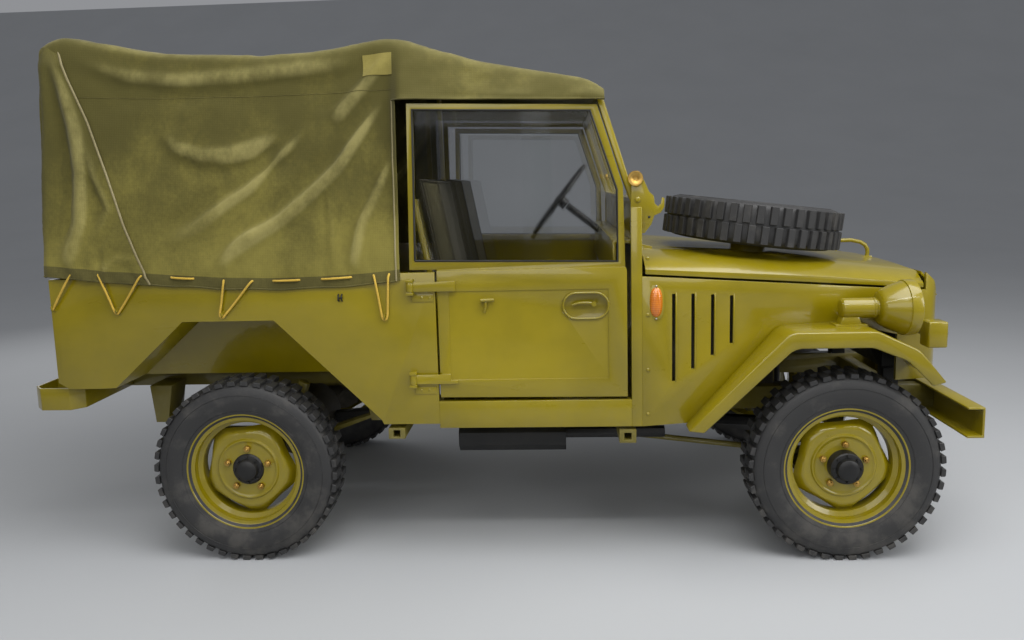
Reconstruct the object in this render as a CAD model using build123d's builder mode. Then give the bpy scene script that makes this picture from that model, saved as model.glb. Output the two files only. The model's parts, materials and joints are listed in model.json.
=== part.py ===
from build123d import *
import os
from math import cos, pi, radians, sin

# Light military 4x4 car with a canvas top.
# Millimetres, +X forward, +Y to the car's left, +Z up, wheels on z = 0.
# The origin is under the middle of the overall length, on the centre plane.

# Driving dimensions
WHEELBASE = 2200
FRONT_OVERHANG = 480  # front axle to the face of the bumper
REAR_OVERHANG = 800  # rear axle to the back of the bumperettes
BODY_HALF = 735  # half the width of tub and doors
FENDER_HALF = 787.5  # half the width over the front wings
TRACK_HALF = 650
TYRE_RADIUS = 347

SHEET = 12  # folded sheet panels with their flanges
TUB_WALL = 25  # tub sides with their inner ribs
DOOR_WALL = 35
CANVAS = 6
PANEL_GAP = 8  # seam between panels that move apart
RUN_GAP = 5  # least gap beside anything that turns
PIN_GAP = 0.4  # running clearance round a pin
BAR_SIDES = 8  # facets round bars, pipes and bosses
PIN_SIDES = 12  # facets round the bores and eyes on small pins
FLAT = 1  # least twist of a facet that gets a fold, in cubic millimetres

REAR_AXLE = -(WHEELBASE + FRONT_OVERHANG + REAR_OVERHANG) / 2 + REAR_OVERHANG
FRONT_AXLE = REAR_AXLE + WHEELBASE
BUMPER_FACE = FRONT_AXLE + FRONT_OVERHANG

# Heights of the body
FLOOR_Z = 530  # top of the cab floor
DECK_Z = 691  # top of the load floor
TUB_TOP = 1084
SILL_Z = 515  # underside of the sills
BELT_Z = 1090  # where window frame and door meet
SCUTTLE_Z = 1180  # top of the scuttle under the windshield

# Stations along the body
TUB_REAR = REAR_AXLE - 672
TUB_FRONT = REAR_AXLE + 742  # rear shut line of the doors
DOOR_FRONT = REAR_AXLE + 1420
FRAME_OUT = BODY_HALF - 20  # window frame of the doors, outer face
FRAME_IN = FRAME_OUT - 30
POST_REAR = REAR_AXLE + 1435  # door post of the scuttle
POST_FRONT = REAR_AXLE + 1473
HINGE_X = REAR_AXLE + 655  # door pins
HINGE_OUT = 17  # door pins outside the skin


def arch(half, edge_z, crown_z):
    """Corners of a flat arch, from -half to half."""
    rise = crown_z - edge_z
    return [(share * half, edge_z + (1 - share * share) * rise) for share in (-1, -0.5, 0, 0.5, 1)]


def skin(rings):
    """Solid of flat facets through rings of corners, closed at both ends."""
    faces = [Face(Wire.make_polygon(rings[0])), Face(Wire.make_polygon(rings[-1]))]
    for ring, following in zip(rings, rings[1:]):
        for i in range(len(ring)):
            a, b, c, d = (Vector(*corner) for corner in (ring[i - 1], ring[i], following[i], following[i - 1]))
            if abs((b - a).cross(c - a).dot(d - a)) < FLAT:
                faces.append(Face(Wire.make_polygon([a, b, c, d])))
            else:
                faces.append(Face(Wire.make_polygon([a, b, c])))
                faces.append(Face(Wire.make_polygon([a, c, d])))
    return Solid(Shell(faces))


def band(reach_a, radius_a, reach_b, radius_b, sides):
    """Faceted cone or drum about Z between two reaches."""
    turns = [2 * pi * i / sides for i in range(sides)]
    return skin([
        [(radius * cos(turn), radius * sin(turn), reach) for turn in turns]
        for reach, radius in ((reach_a, radius_a), (reach_b, radius_b))
    ])


def finish(block, name):
    """Name a finished piece and write it."""
    block.part.label = name
    export_step(block.part, f"parts/{name}.step")


os.makedirs("parts", exist_ok=True)

# Wheels: tyres with two staggered rows of lugs on pressed rims
TYRE_LUGS = 28  # lugs in a row
LUG_DEPTH = 13
LUG_REACH = 66  # tread, half its width
TYRE_HALF = 82  # section, half its width
WHEEL_SIDES = 15
RIM_SEAT = 203
RIM_LIP = 224
RIM_HALF = 60  # between the beads, half
LIP_THICK = 10
RIM_WALL = 10
LUG_ANGLE = 2 * pi / TYRE_LUGS
LUG_TIP = 0.19  # half a lug's outer face and half its foot, in lug pitches
LUG_FOOT = 0.25
AXLE_Z = TYRE_RADIUS * cos(LUG_TIP * LUG_ANGLE)  # wheel centre: a lug's flat stands on the ground


def tread_outline(phase):
    """Corners of one row of lugs; phase is in lug pitches."""
    root = TYRE_RADIUS - LUG_DEPTH
    corners = []
    for lug in range(TYRE_LUGS):
        middle = (lug + phase) * LUG_ANGLE
        for radius, turn in ((root, -LUG_FOOT), (TYRE_RADIUS, -LUG_TIP), (TYRE_RADIUS, LUG_TIP), (root, LUG_FOOT)):
            angle = middle + turn * LUG_ANGLE
            corners.append((radius * cos(angle), radius * sin(angle)))
    return corners


BULGE_RADIUS = 282  # where the section is widest
BEAD_RADIUS = 230
# Tyre sides, from one side to the other: kind, then reach and radius at both ends of each band
CARCASS = (
    (Mode.ADD, -TYRE_HALF, BULGE_RADIUS, 4 - LUG_REACH, TYRE_RADIUS - LUG_DEPTH - 8),
    (Mode.ADD, LUG_REACH - 4, TYRE_RADIUS - LUG_DEPTH - 8, TYRE_HALF, BULGE_RADIUS),
    (Mode.SUBTRACT, -TYRE_HALF, BULGE_RADIUS, -RIM_HALF, BEAD_RADIUS),
    (Mode.SUBTRACT, RIM_HALF, BEAD_RADIUS, TYRE_HALF, BULGE_RADIUS),
)

with BuildPart() as tyre:
    for row, phase in ((1, 0.0), (-1, 0.5)):
        with BuildSketch(Plane.XY):
            with BuildLine():
                Polyline(*tread_outline(phase), close=True)
            make_face()
        extrude(amount=row * LUG_REACH)
    for mode, *ends in CARCASS:
        add(band(*ends, WHEEL_SIDES), mode=mode)
    with BuildSketch(Plane.XY.offset(-TYRE_HALF)):
        RegularPolygon(RIM_SEAT + 1, WHEEL_SIDES)
    extrude(amount=2 * TYRE_HALF, mode=Mode.SUBTRACT)

# Rim and disc: kind, then reach and radius at both ends of each band
DISC_OUT = 30  # nave face outside the centre plane
DISC_WALL = 8
NAVE_RADIUS = 118
HUB_RADIUS = 58
HAND_HOLES = 5
HOLE_RADIUS = 172  # middle of the hand holes
HOLE_WIDE = 62
HOLE_HIGH = 30
RIM_BANDS = (
    (Mode.ADD, -RIM_HALF - LIP_THICK, RIM_LIP, -RIM_HALF, RIM_LIP),
    (Mode.ADD, -RIM_HALF, RIM_SEAT, RIM_HALF, RIM_SEAT),
    (Mode.ADD, RIM_HALF, RIM_LIP, RIM_HALF + LIP_THICK, RIM_LIP),
    (Mode.SUBTRACT, -RIM_HALF - LIP_THICK, RIM_SEAT - RIM_WALL, RIM_HALF + LIP_THICK, RIM_SEAT - RIM_WALL),
    (Mode.ADD, -DISC_WALL, RIM_SEAT - 2, DISC_OUT + DISC_WALL, NAVE_RADIUS + DISC_WALL),
    (Mode.SUBTRACT, -DISC_WALL, RIM_SEAT - 2 - DISC_WALL, DISC_OUT, NAVE_RADIUS),
)


def rim(hub_in, hub_out):
    """Pressed rim with its dished disc; the hub spans the two reaches."""
    with BuildPart() as piece:
        for mode, *ends in RIM_BANDS:
            add(band(*ends, WHEEL_SIDES), mode=mode)
        with BuildSketch(Plane.XY.offset(-DISC_WALL)):
            with PolarLocations(HOLE_RADIUS, HAND_HOLES, start_angle=180 / WHEEL_SIDES):
                Rectangle(HOLE_HIGH, HOLE_WIDE)
        extrude(amount=DISC_OUT + 2 * DISC_WALL, mode=Mode.SUBTRACT)
        with BuildSketch(Plane.XY.offset(hub_in)):
            RegularPolygon(HUB_RADIUS, WHEEL_SIDES)
        extrude(amount=hub_out - hub_in)
    return piece.part


def wheel_plane(x, side):
    """Centre plane of a wheel, facing out; side is 1 on the left and -1 on the right."""
    return Plane(origin=(x, side * TRACK_HALF, AXLE_Z), x_dir=(1, 0, 0), z_dir=(0, side, 0))


# Hubs: inner and outer reach from the wheel's centre plane
FRONT_HUB = (-10, 102)
REAR_HUB = (-10, 68)
# Wheels: name, axle, side, hub
WHEELS = (
    ("front_right", FRONT_AXLE, -1, FRONT_HUB),
    ("front_left", FRONT_AXLE, 1, FRONT_HUB),
    ("rear_right", REAR_AXLE, -1, REAR_HUB),
    ("rear_left", REAR_AXLE, 1, REAR_HUB),
)
for place, axle, side, hub in WHEELS:
    with BuildPart(wheel_plane(axle, side)) as wheel_tyre:
        add(tyre.part)
    finish(wheel_tyre, f"tyre_{place}")
    with BuildPart(wheel_plane(axle, side)) as wheel_rim:
        add(rim(*hub))
    finish(wheel_rim, f"rim_{place}")

# Ladder frame: two rails drawn from the side, cross-members, outriggers with the jack sockets
RAIL_IN = 270
RAIL_OUT = 330
RAIL_TOP = 516
RAIL_LOW = 426
RAIL_REAR_TOP = 676  # over the rear axle, under the load floor
RAIL_REAR_LOW = 586
RAIL_TAIL = REAR_AXLE - 640
RAIL_NOSE = BUMPER_FACE - 8
BUMPER_Z = 507  # middle of the front bumper
BUMPER_HIGH = 112
RAIL_RISE = 34  # the rails rise this much ahead of the cab
KICK_REAR = REAR_AXLE + 300
KICK_FRONT = REAR_AXLE + 520
RISE_REAR = REAR_AXLE + 1500
RISE_FRONT = FRONT_AXLE - 330
CLEVIS_REACH = 90  # bore behind the cross-member's face
CLEVIS_ROOT = 25
CLEVIS_BORE = 15
CLEVIS_LOW = 600
CLEVIS_TALL = 62
EAR = 14
EAR_RADIUS = 40
with BuildPart() as chassis_frame:
    with BuildSketch(Plane.XZ.offset(RAIL_IN)):
        with BuildLine():
            Polyline(
                (RAIL_TAIL, RAIL_REAR_LOW), (KICK_REAR, RAIL_REAR_LOW), (KICK_FRONT, RAIL_LOW),
                (RISE_REAR, RAIL_LOW), (RISE_FRONT, RAIL_LOW + RAIL_RISE), (RAIL_NOSE, RAIL_LOW + RAIL_RISE),
                (RAIL_NOSE, RAIL_TOP + RAIL_RISE), (RISE_FRONT, RAIL_TOP + RAIL_RISE), (RISE_REAR, RAIL_TOP),
                (KICK_FRONT, RAIL_TOP),
                (KICK_REAR, RAIL_REAR_TOP), (RAIL_TAIL, RAIL_REAR_TOP), close=True,
            )
        make_face()
    extrude(amount=RAIL_OUT - RAIL_IN)
    mirror(about=Plane.XZ)
    # Cross-members: station along the car, width, underside, top
    for station, width, low, top in (
        (RAIL_TAIL + 30, 60, RAIL_REAR_LOW, RAIL_REAR_TOP),
        (REAR_AXLE - 250, 60, RAIL_REAR_LOW + 20, RAIL_REAR_TOP),
        (KICK_FRONT + 60, 60, RAIL_LOW + 16, RAIL_TOP - 20),
        (POST_REAR - 60, 60, RAIL_LOW, RAIL_LOW + 34),
        (FRONT_AXLE + 330, 60, RAIL_LOW + RAIL_RISE, RAIL_TOP + 20),
    ):
        with BuildSketch(Plane.XY.offset(low)):
            with Locations((station, 0)):
                Rectangle(width, 2 * RAIL_OUT)
        extrude(amount=top - low)
    # Outriggers to the sills and to the load floor, with square jack sockets at the sills
    for station, low, top, reach in (
        (REAR_AXLE + 582, 476, SILL_Z, BODY_HALF),
        (REAR_AXLE + 1420, 454, 503, BODY_HALF),
    ):
        with BuildSketch(Plane.XY.offset(low)):
            with Locations((station, 0)):
                Rectangle(60, 2 * reach)
                Rectangle(60, 2 * RAIL_IN, mode=Mode.SUBTRACT)
        extrude(amount=top - low)
        with BuildSketch(Plane.XZ.offset(-reach)):
            with Locations((station, (low + top) / 2)):
                Rectangle(26, 26)
        extrude(amount=2 * reach, mode=Mode.SUBTRACT)
    # Tow clevis on the rear cross-member: two ears with the pin's bore
    with BuildSketch(Plane.XY.offset(CLEVIS_LOW)):
        with Locations((RAIL_TAIL, 0)):
            Rectangle(CLEVIS_REACH, 2 * EAR_RADIUS, align=(Align.MAX, Align.CENTER))
        with Locations((RAIL_TAIL - CLEVIS_REACH, 0)):
            RegularPolygon(EAR_RADIUS, BAR_SIDES, rotation=180 / BAR_SIDES, major_radius=False)
            Circle(CLEVIS_BORE, mode=Mode.SUBTRACT)
    extrude(amount=CLEVIS_TALL)
    with BuildSketch(Plane.XY.offset(CLEVIS_LOW + EAR)):
        with Locations((RAIL_TAIL - CLEVIS_ROOT, 0)):
            Rectangle(CLEVIS_REACH + EAR_RADIUS, 2 * EAR_RADIUS, align=(Align.MAX, Align.CENTER))
    extrude(amount=CLEVIS_TALL - 2 * EAR, mode=Mode.SUBTRACT)
finish(chassis_frame, "chassis_frame")

# Knuckles: a C round the drive joint, held by a ball joint above and below
KINGPIN_Y = 560
KINGPIN_REACH = 125  # ball joints above and below the wheel's centre
KINGPIN_PIN = 9
ARM_PLATE = 20
UPRIGHT_HALF = 24
BACKPLATE_Y = 606
DRUM_RADIUS = 140
DRIVE_RADIUS = 20  # half shafts
STUB_RADIUS = 17
STUB_IN = 8  # stub axle's end and the half shaft's end, inside the kingpin
SHAFT_END = KINGPIN_Y - 46  # clear of the steering arm at full lock
KNUCKLE_ARM = 170  # kingpin to the rod's eye, to the rear
ROD_Z = AXLE_Z + 40
ROD_RADIUS = 12
EYE_PIN = 9
EYE_PLATE = 16
BALL_GAP = 1  # between a ball joint's faces

with BuildPart() as knuckle_left:
    with BuildSketch(Plane.YZ.offset(FRONT_AXLE - UPRIGHT_HALF)):
        with Locations((BACKPLATE_Y, AXLE_Z)):
            Rectangle(BACKPLATE_Y - KINGPIN_Y + UPRIGHT_HALF, 2 * KINGPIN_REACH, align=(Align.MAX, Align.CENTER))
            Rectangle(
                BACKPLATE_Y - KINGPIN_Y + UPRIGHT_HALF, 2 * KINGPIN_REACH - 4 * ARM_PLATE,
                align=(Align.MAX, Align.CENTER), mode=Mode.SUBTRACT,
            )
    extrude(amount=2 * UPRIGHT_HALF)
    with BuildSketch(Plane.XZ.offset(-BACKPLATE_Y)):
        with Locations((FRONT_AXLE, AXLE_Z)):
            RegularPolygon(DRUM_RADIUS, WHEEL_SIDES)
    extrude(amount=10)
    with BuildSketch(Plane.XY.offset(AXLE_Z - KINGPIN_REACH)):
        with Locations((FRONT_AXLE, KINGPIN_Y)):
            RegularPolygon(KINGPIN_PIN + PIN_GAP, PIN_SIDES, major_radius=False)
    extrude(amount=2 * KINGPIN_REACH, mode=Mode.SUBTRACT)
    # Stub axle towards the drive joint
    with BuildSketch(Plane.XZ.offset(-BACKPLATE_Y)):
        with Locations((FRONT_AXLE, AXLE_Z)):
            RegularPolygon(STUB_RADIUS, BAR_SIDES)
    extrude(amount=BACKPLATE_Y - KINGPIN_Y + STUB_IN)
    # Steering arm with the eye for the rod
    with BuildSketch(Plane.XY.offset(ROD_Z - ROD_RADIUS - BALL_GAP - EYE_PLATE)):
        with Locations((FRONT_AXLE - KNUCKLE_ARM / 2, KINGPIN_Y)):
            Rectangle(KNUCKLE_ARM, 2 * UPRIGHT_HALF)
        with Locations((FRONT_AXLE - KNUCKLE_ARM, KINGPIN_Y)):
            RegularPolygon(UPRIGHT_HALF, BAR_SIDES, major_radius=False)
            RegularPolygon(EYE_PIN + PIN_GAP, PIN_SIDES, major_radius=False, mode=Mode.SUBTRACT)
        with Locations((FRONT_AXLE, KINGPIN_Y)):
            Rectangle(2 * UPRIGHT_HALF + 2 * RUN_GAP, 4 * UPRIGHT_HALF, mode=Mode.SUBTRACT)
    extrude(amount=EYE_PLATE)
    with BuildSketch(Plane.XY.offset(ROD_Z - ROD_RADIUS - BALL_GAP - EYE_PLATE)):
        with Locations((FRONT_AXLE - UPRIGHT_HALF, BACKPLATE_Y)):
            Rectangle(2 * UPRIGHT_HALF, BACKPLATE_Y - KINGPIN_Y, align=(Align.CENTER, Align.MAX))
    extrude(amount=EYE_PLATE)
finish(knuckle_left, "knuckle_left")
with BuildPart() as knuckle_right:
    add(knuckle_left.part)
    mirror(about=Plane.XZ, mode=Mode.REPLACE)
finish(knuckle_right, "knuckle_right")

# Track rod with the eyes' pins, and the drop arm that moves it beside the steering box
DROP_Y = 215
DROP_HALF = 20
with BuildPart() as track_rod:
    with BuildSketch(Plane.XZ.offset(-KINGPIN_Y - UPRIGHT_HALF / 2)):
        with Locations((FRONT_AXLE - KNUCKLE_ARM, ROD_Z)):
            RegularPolygon(ROD_RADIUS, BAR_SIDES, rotation=180 / BAR_SIDES, major_radius=False)
    extrude(amount=2 * KINGPIN_Y + UPRIGHT_HALF)
    with BuildSketch(Plane.XY.offset(ROD_Z)):
        with Locations((FRONT_AXLE - KNUCKLE_ARM, KINGPIN_Y), (FRONT_AXLE - KNUCKLE_ARM, -KINGPIN_Y)):
            Circle(EYE_PIN)
    extrude(amount=-ROD_RADIUS - BALL_GAP - EYE_PLATE)
    with BuildSketch(Plane.XY.offset(ROD_Z)):
        with Locations((FRONT_AXLE - KNUCKLE_ARM, DROP_Y)):
            RegularPolygon(EYE_PIN, PIN_SIDES)
    extrude(amount=ROD_RADIUS + BALL_GAP + EYE_PLATE)
finish(track_rod, "track_rod")
with BuildPart() as drop_arm:
    with BuildSketch(Plane.XY.offset(ROD_Z + ROD_RADIUS + BALL_GAP)):
        with Locations((FRONT_AXLE - KNUCKLE_ARM / 2, DROP_Y)):
            Rectangle(KNUCKLE_ARM, 2 * DROP_HALF)
        with Locations((FRONT_AXLE - KNUCKLE_ARM, DROP_Y), (FRONT_AXLE, DROP_Y)):
            RegularPolygon(DROP_HALF, BAR_SIDES, rotation=180 / BAR_SIDES, major_radius=False)
        with Locations((FRONT_AXLE - KNUCKLE_ARM, DROP_Y)):
            RegularPolygon(EYE_PIN + PIN_GAP, PIN_SIDES, major_radius=False, mode=Mode.SUBTRACT)
    extrude(amount=EYE_PLATE)
    with BuildSketch(Plane.XY.offset(ROD_Z + ROD_RADIUS + BALL_GAP + EYE_PLATE)):
        with Locations((FRONT_AXLE, DROP_Y)):
            Circle(EYE_PIN + 3)
    extrude(amount=RAIL_TOP + RAIL_RISE - ROD_Z - ROD_RADIUS - BALL_GAP - EYE_PLATE)
finish(drop_arm, "drop_arm")

# Front wishbones, torsion bars and dampers
LOWER_PIVOT_Z = 292
ARM_SPREAD = 120  # wishbone pivots ahead of and behind the axle
ARM_TIP = 30
BAR_REAR = REAR_AXLE + 1500
BAR_REAR_Z = 362
BAR_Y = RAIL_OUT + 20
BAR_RADIUS = 12
DAMPER_RADIUS = 24
FRONT_DAMPER_Y = 430
FRONT_DAMPER_TOP = 640
UPPER_EYE_Z = AXLE_Z + KINGPIN_REACH + BALL_GAP
LOWER_EYE_Z = AXLE_Z - KINGPIN_REACH - BALL_GAP - ARM_PLATE


def wishbone(inner_z, outer_z, pin_way):
    """One left-hand wishbone: a fork in plan that slopes in end view, with its kingpin ball pin."""
    elbow_y = KINGPIN_Y - 2 * UPRIGHT_HALF
    tip_y = KINGPIN_Y + UPRIGHT_HALF
    with BuildPart() as arm:
        with BuildSketch(Plane.YZ.offset(FRONT_AXLE - ARM_SPREAD - ARM_TIP)):
            with BuildLine():
                Polyline(
                    (RAIL_OUT, inner_z), (elbow_y, outer_z), (tip_y, outer_z),
                    (tip_y, outer_z + ARM_PLATE), (elbow_y, outer_z + ARM_PLATE),
                    (RAIL_OUT, inner_z + ARM_PLATE), close=True,
                )
            make_face()
        extrude(amount=2 * (ARM_SPREAD + ARM_TIP))
        with BuildSketch(Plane.XY):
            with BuildLine():
                Polyline(
                    (FRONT_AXLE - ARM_SPREAD - ARM_TIP, RAIL_OUT), (FRONT_AXLE - ARM_TIP, tip_y),
                    (FRONT_AXLE + ARM_TIP, tip_y), (FRONT_AXLE + ARM_SPREAD + ARM_TIP, RAIL_OUT),
                    (FRONT_AXLE + ARM_SPREAD - ARM_TIP, RAIL_OUT), (FRONT_AXLE, elbow_y - ARM_TIP),
                    (FRONT_AXLE - ARM_SPREAD + ARM_TIP, RAIL_OUT), close=True,
                )
            make_face()
        extrude(amount=2 * AXLE_Z, mode=Mode.INTERSECT)
        pin_foot = outer_z + ARM_PLATE if pin_way > 0 else outer_z
        with BuildSketch(Plane.XY.offset(pin_foot)):
            with Locations((FRONT_AXLE, KINGPIN_Y)):
                if pin_way > 0:
                    Circle(KINGPIN_PIN)
                else:
                    RegularPolygon(KINGPIN_PIN, PIN_SIDES)
        extrude(amount=pin_way * (ARM_PLATE + BALL_GAP))
    return arm.part


def rod(start, end, radius):
    """Straight round bar between two points."""
    run = Vector(*end) - Vector(*start)
    with BuildPart() as bar:
        with BuildSketch(Plane(origin=start, z_dir=run)):
            RegularPolygon(radius, BAR_SIDES)
        extrude(amount=run.length)
    return bar.part


with BuildPart() as front_suspension:
    add(wishbone(UPPER_EYE_Z, UPPER_EYE_Z, -1))
    add(wishbone(LOWER_PIVOT_Z, LOWER_EYE_Z, 1))
    add(rod((FRONT_AXLE - ARM_SPREAD, BAR_Y, LOWER_PIVOT_Z), (BAR_REAR, BAR_Y, BAR_REAR_Z), BAR_RADIUS))
    add(rod(
        (FRONT_AXLE + 45, FRONT_DAMPER_Y, LOWER_PIVOT_Z - 20),
        (FRONT_AXLE + 45, FRONT_DAMPER_Y - 70, FRONT_DAMPER_TOP), DAMPER_RADIUS,
    ))
    mirror(about=Plane.XZ)
finish(front_suspension, "front_suspension")

# Final drive at the front with its half shafts, fixed to the frame
DIFF_HALF = 95
CASE_FRONT = 120  # radius of the final drive's case
CASE_REAR = 150
CASE_SIDES = 16
with BuildPart() as front_drive:
    with BuildSketch(Plane.XZ.offset(-DIFF_HALF)):
        with Locations((FRONT_AXLE - 20, AXLE_Z)):
            RegularPolygon(CASE_FRONT, CASE_SIDES, rotation=180 / CASE_SIDES)
    extrude(amount=2 * DIFF_HALF)
    with BuildSketch(Plane.XZ.offset(-SHAFT_END)):
        with Locations((FRONT_AXLE, AXLE_Z)):
            Circle(DRIVE_RADIUS)
    extrude(amount=2 * SHAFT_END)
finish(front_drive, "front_drive")

# Rear axle: tube, banjo and brake backing plates
with BuildPart() as rear_axle:
    with BuildSketch(Plane.XZ.offset(-BACKPLATE_Y)):
        with Locations((REAR_AXLE, AXLE_Z)):
            Circle(42)
    extrude(amount=2 * BACKPLATE_Y)
    with BuildSketch(Plane.XZ.offset(-DIFF_HALF)):
        with Locations((REAR_AXLE, AXLE_Z)):
            RegularPolygon(CASE_REAR, CASE_SIDES, rotation=180 / CASE_SIDES)
    extrude(amount=2 * DIFF_HALF)
    with BuildSketch(Plane.XZ.offset(-BACKPLATE_Y - 10)):
        with Locations((REAR_AXLE, AXLE_Z)):
            RegularPolygon(DRUM_RADIUS, WHEEL_SIDES)
    extrude(amount=10)
    with BuildSketch(Plane.XZ.offset(BACKPLATE_Y)):
        with Locations((REAR_AXLE, AXLE_Z)):
            RegularPolygon(DRUM_RADIUS, WHEEL_SIDES)
    extrude(amount=10)
finish(rear_axle, "rear_axle")

# Rear springs: bowed packs under the axle, shackles to the frame, dampers
SPRING_Y = 430
SPRING_HALF = 30  # leaf width, half
EYE_REAR = REAR_AXLE - 433
EYE_FRONT = REAR_AXLE + 450
EYE_Z = 484
SPRING_SEAT_Z = AXLE_Z + 42
SPRING_THICK = 40
LEAF = 10
SPRING_FLAT = 70  # the seat's half length
SPRING_BEND = 250
SPRING_BEND_Z = SPRING_SEAT_Z + 22
with BuildPart() as rear_suspension:
    with BuildSketch(Plane.XZ.offset(-SPRING_Y - SPRING_HALF)):
        with BuildLine():
            Polyline(
                (EYE_REAR, EYE_Z), (REAR_AXLE - SPRING_BEND, SPRING_BEND_Z), (REAR_AXLE - SPRING_FLAT, SPRING_SEAT_Z),
                (REAR_AXLE + SPRING_FLAT, SPRING_SEAT_Z), (REAR_AXLE + SPRING_BEND, SPRING_BEND_Z),
                (EYE_FRONT, EYE_Z), (EYE_FRONT, EYE_Z + LEAF),
                (REAR_AXLE + SPRING_BEND, SPRING_BEND_Z + 2 * LEAF),
                (REAR_AXLE + SPRING_FLAT, SPRING_SEAT_Z + SPRING_THICK),
                (REAR_AXLE - SPRING_FLAT, SPRING_SEAT_Z + SPRING_THICK),
                (REAR_AXLE - SPRING_BEND, SPRING_BEND_Z + 2 * LEAF), (EYE_REAR, EYE_Z + LEAF), close=True,
            )
        make_face()
    extrude(amount=2 * SPRING_HALF)
    # Shackle up to the frame's side, and the fixed bracket at the front eye
    for eye_x, top_z in ((EYE_REAR, RAIL_REAR_LOW + 30), (EYE_FRONT, EYE_Z + 60)):
        with BuildSketch(Plane.XZ.offset(-SPRING_Y - SPRING_HALF)):
            with BuildLine():
                Polyline(
                    (eye_x - 25, EYE_Z - 20), (eye_x + 25, EYE_Z - 20), (eye_x + 50, top_z),
                    (eye_x - 40, top_z), close=True,
                )
            make_face()
        extrude(amount=SPRING_Y + SPRING_HALF - RAIL_OUT)
    damper_foot = (REAR_AXLE + 60, SPRING_Y + 50, AXLE_Z + 20)
    add(rod(damper_foot, (REAR_AXLE + 170, SPRING_Y + 50, DECK_Z - 60), DAMPER_RADIUS))
    mirror(about=Plane.XZ)
finish(rear_suspension, "rear_suspension")

# Engine as one plain block, gearbox and transfer case, propeller shafts, exhaust
ENGINE_REAR = REAR_AXLE + 1560
ENGINE_FRONT = FRONT_AXLE - 130
ENGINE_HALF = 210
ENGINE_LOW = 450
ENGINE_TOP = 960
with BuildPart() as engine_block:
    with BuildSketch(Plane.XY.offset(ENGINE_LOW)):
        with Locations(((ENGINE_REAR + ENGINE_FRONT) / 2, 0)):
            Rectangle(ENGINE_FRONT - ENGINE_REAR, 2 * ENGINE_HALF)
    extrude(amount=ENGINE_TOP - ENGINE_LOW)
finish(engine_block, "engine_block")

TUNNEL_HALF = 170
TUNNEL_TOP = 660
TRANSFER_REAR = REAR_AXLE + 900
TRANSFER_FRONT = REAR_AXLE + 1120
with BuildPart() as transmission:
    with BuildSketch(Plane.YZ.offset(TRANSFER_FRONT)):
        with Locations((0, 555)):
            RegularPolygon(95, 8, rotation=22.5)
    extrude(amount=ENGINE_REAR - TRANSFER_FRONT)
    with BuildSketch(Plane.YZ.offset(TRANSFER_REAR)) as transfer_end:
        with Locations((-40, 460)):
            Rectangle(200, 280)
        chamfer(transfer_end.vertices(), 50)
    extrude(amount=TRANSFER_FRONT - TRANSFER_REAR)
finish(transmission, "transmission")

with BuildPart() as propeller_shafts:
    add(rod((REAR_AXLE + CASE_REAR + 6, 0, AXLE_Z), (TRANSFER_REAR - 4, -40, 420), 30))
    add(rod((TRANSFER_FRONT + 3, -110, 390), (FRONT_AXLE - CASE_FRONT - 20, -60, AXLE_Z - 20), 25))
finish(propeller_shafts, "propeller_shafts")

PIPE_RADIUS = 24
PIPE_LONG = 390
SILENCER_REAR = REAR_AXLE + 780
SILENCER_LONG = 420
SILENCER_WIDE = 170
SILENCER_HIGH = 110
SILENCER_Y = -430
SILENCER_Z = 400
with BuildPart() as exhaust:
    with BuildSketch(Plane.YZ.offset(SILENCER_REAR)) as silencer_end:
        with Locations((SILENCER_Y, SILENCER_Z)):
            Rectangle(SILENCER_WIDE, SILENCER_HIGH)
        chamfer(silencer_end.vertices(), 30)
    extrude(amount=SILENCER_LONG)
    with BuildSketch(Plane.YZ.offset(SILENCER_REAR + SILENCER_LONG)):
        with Locations((SILENCER_Y, SILENCER_Z)):
            RegularPolygon(PIPE_RADIUS, BAR_SIDES)
    extrude(amount=PIPE_LONG)
finish(exhaust, "exhaust")

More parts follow.
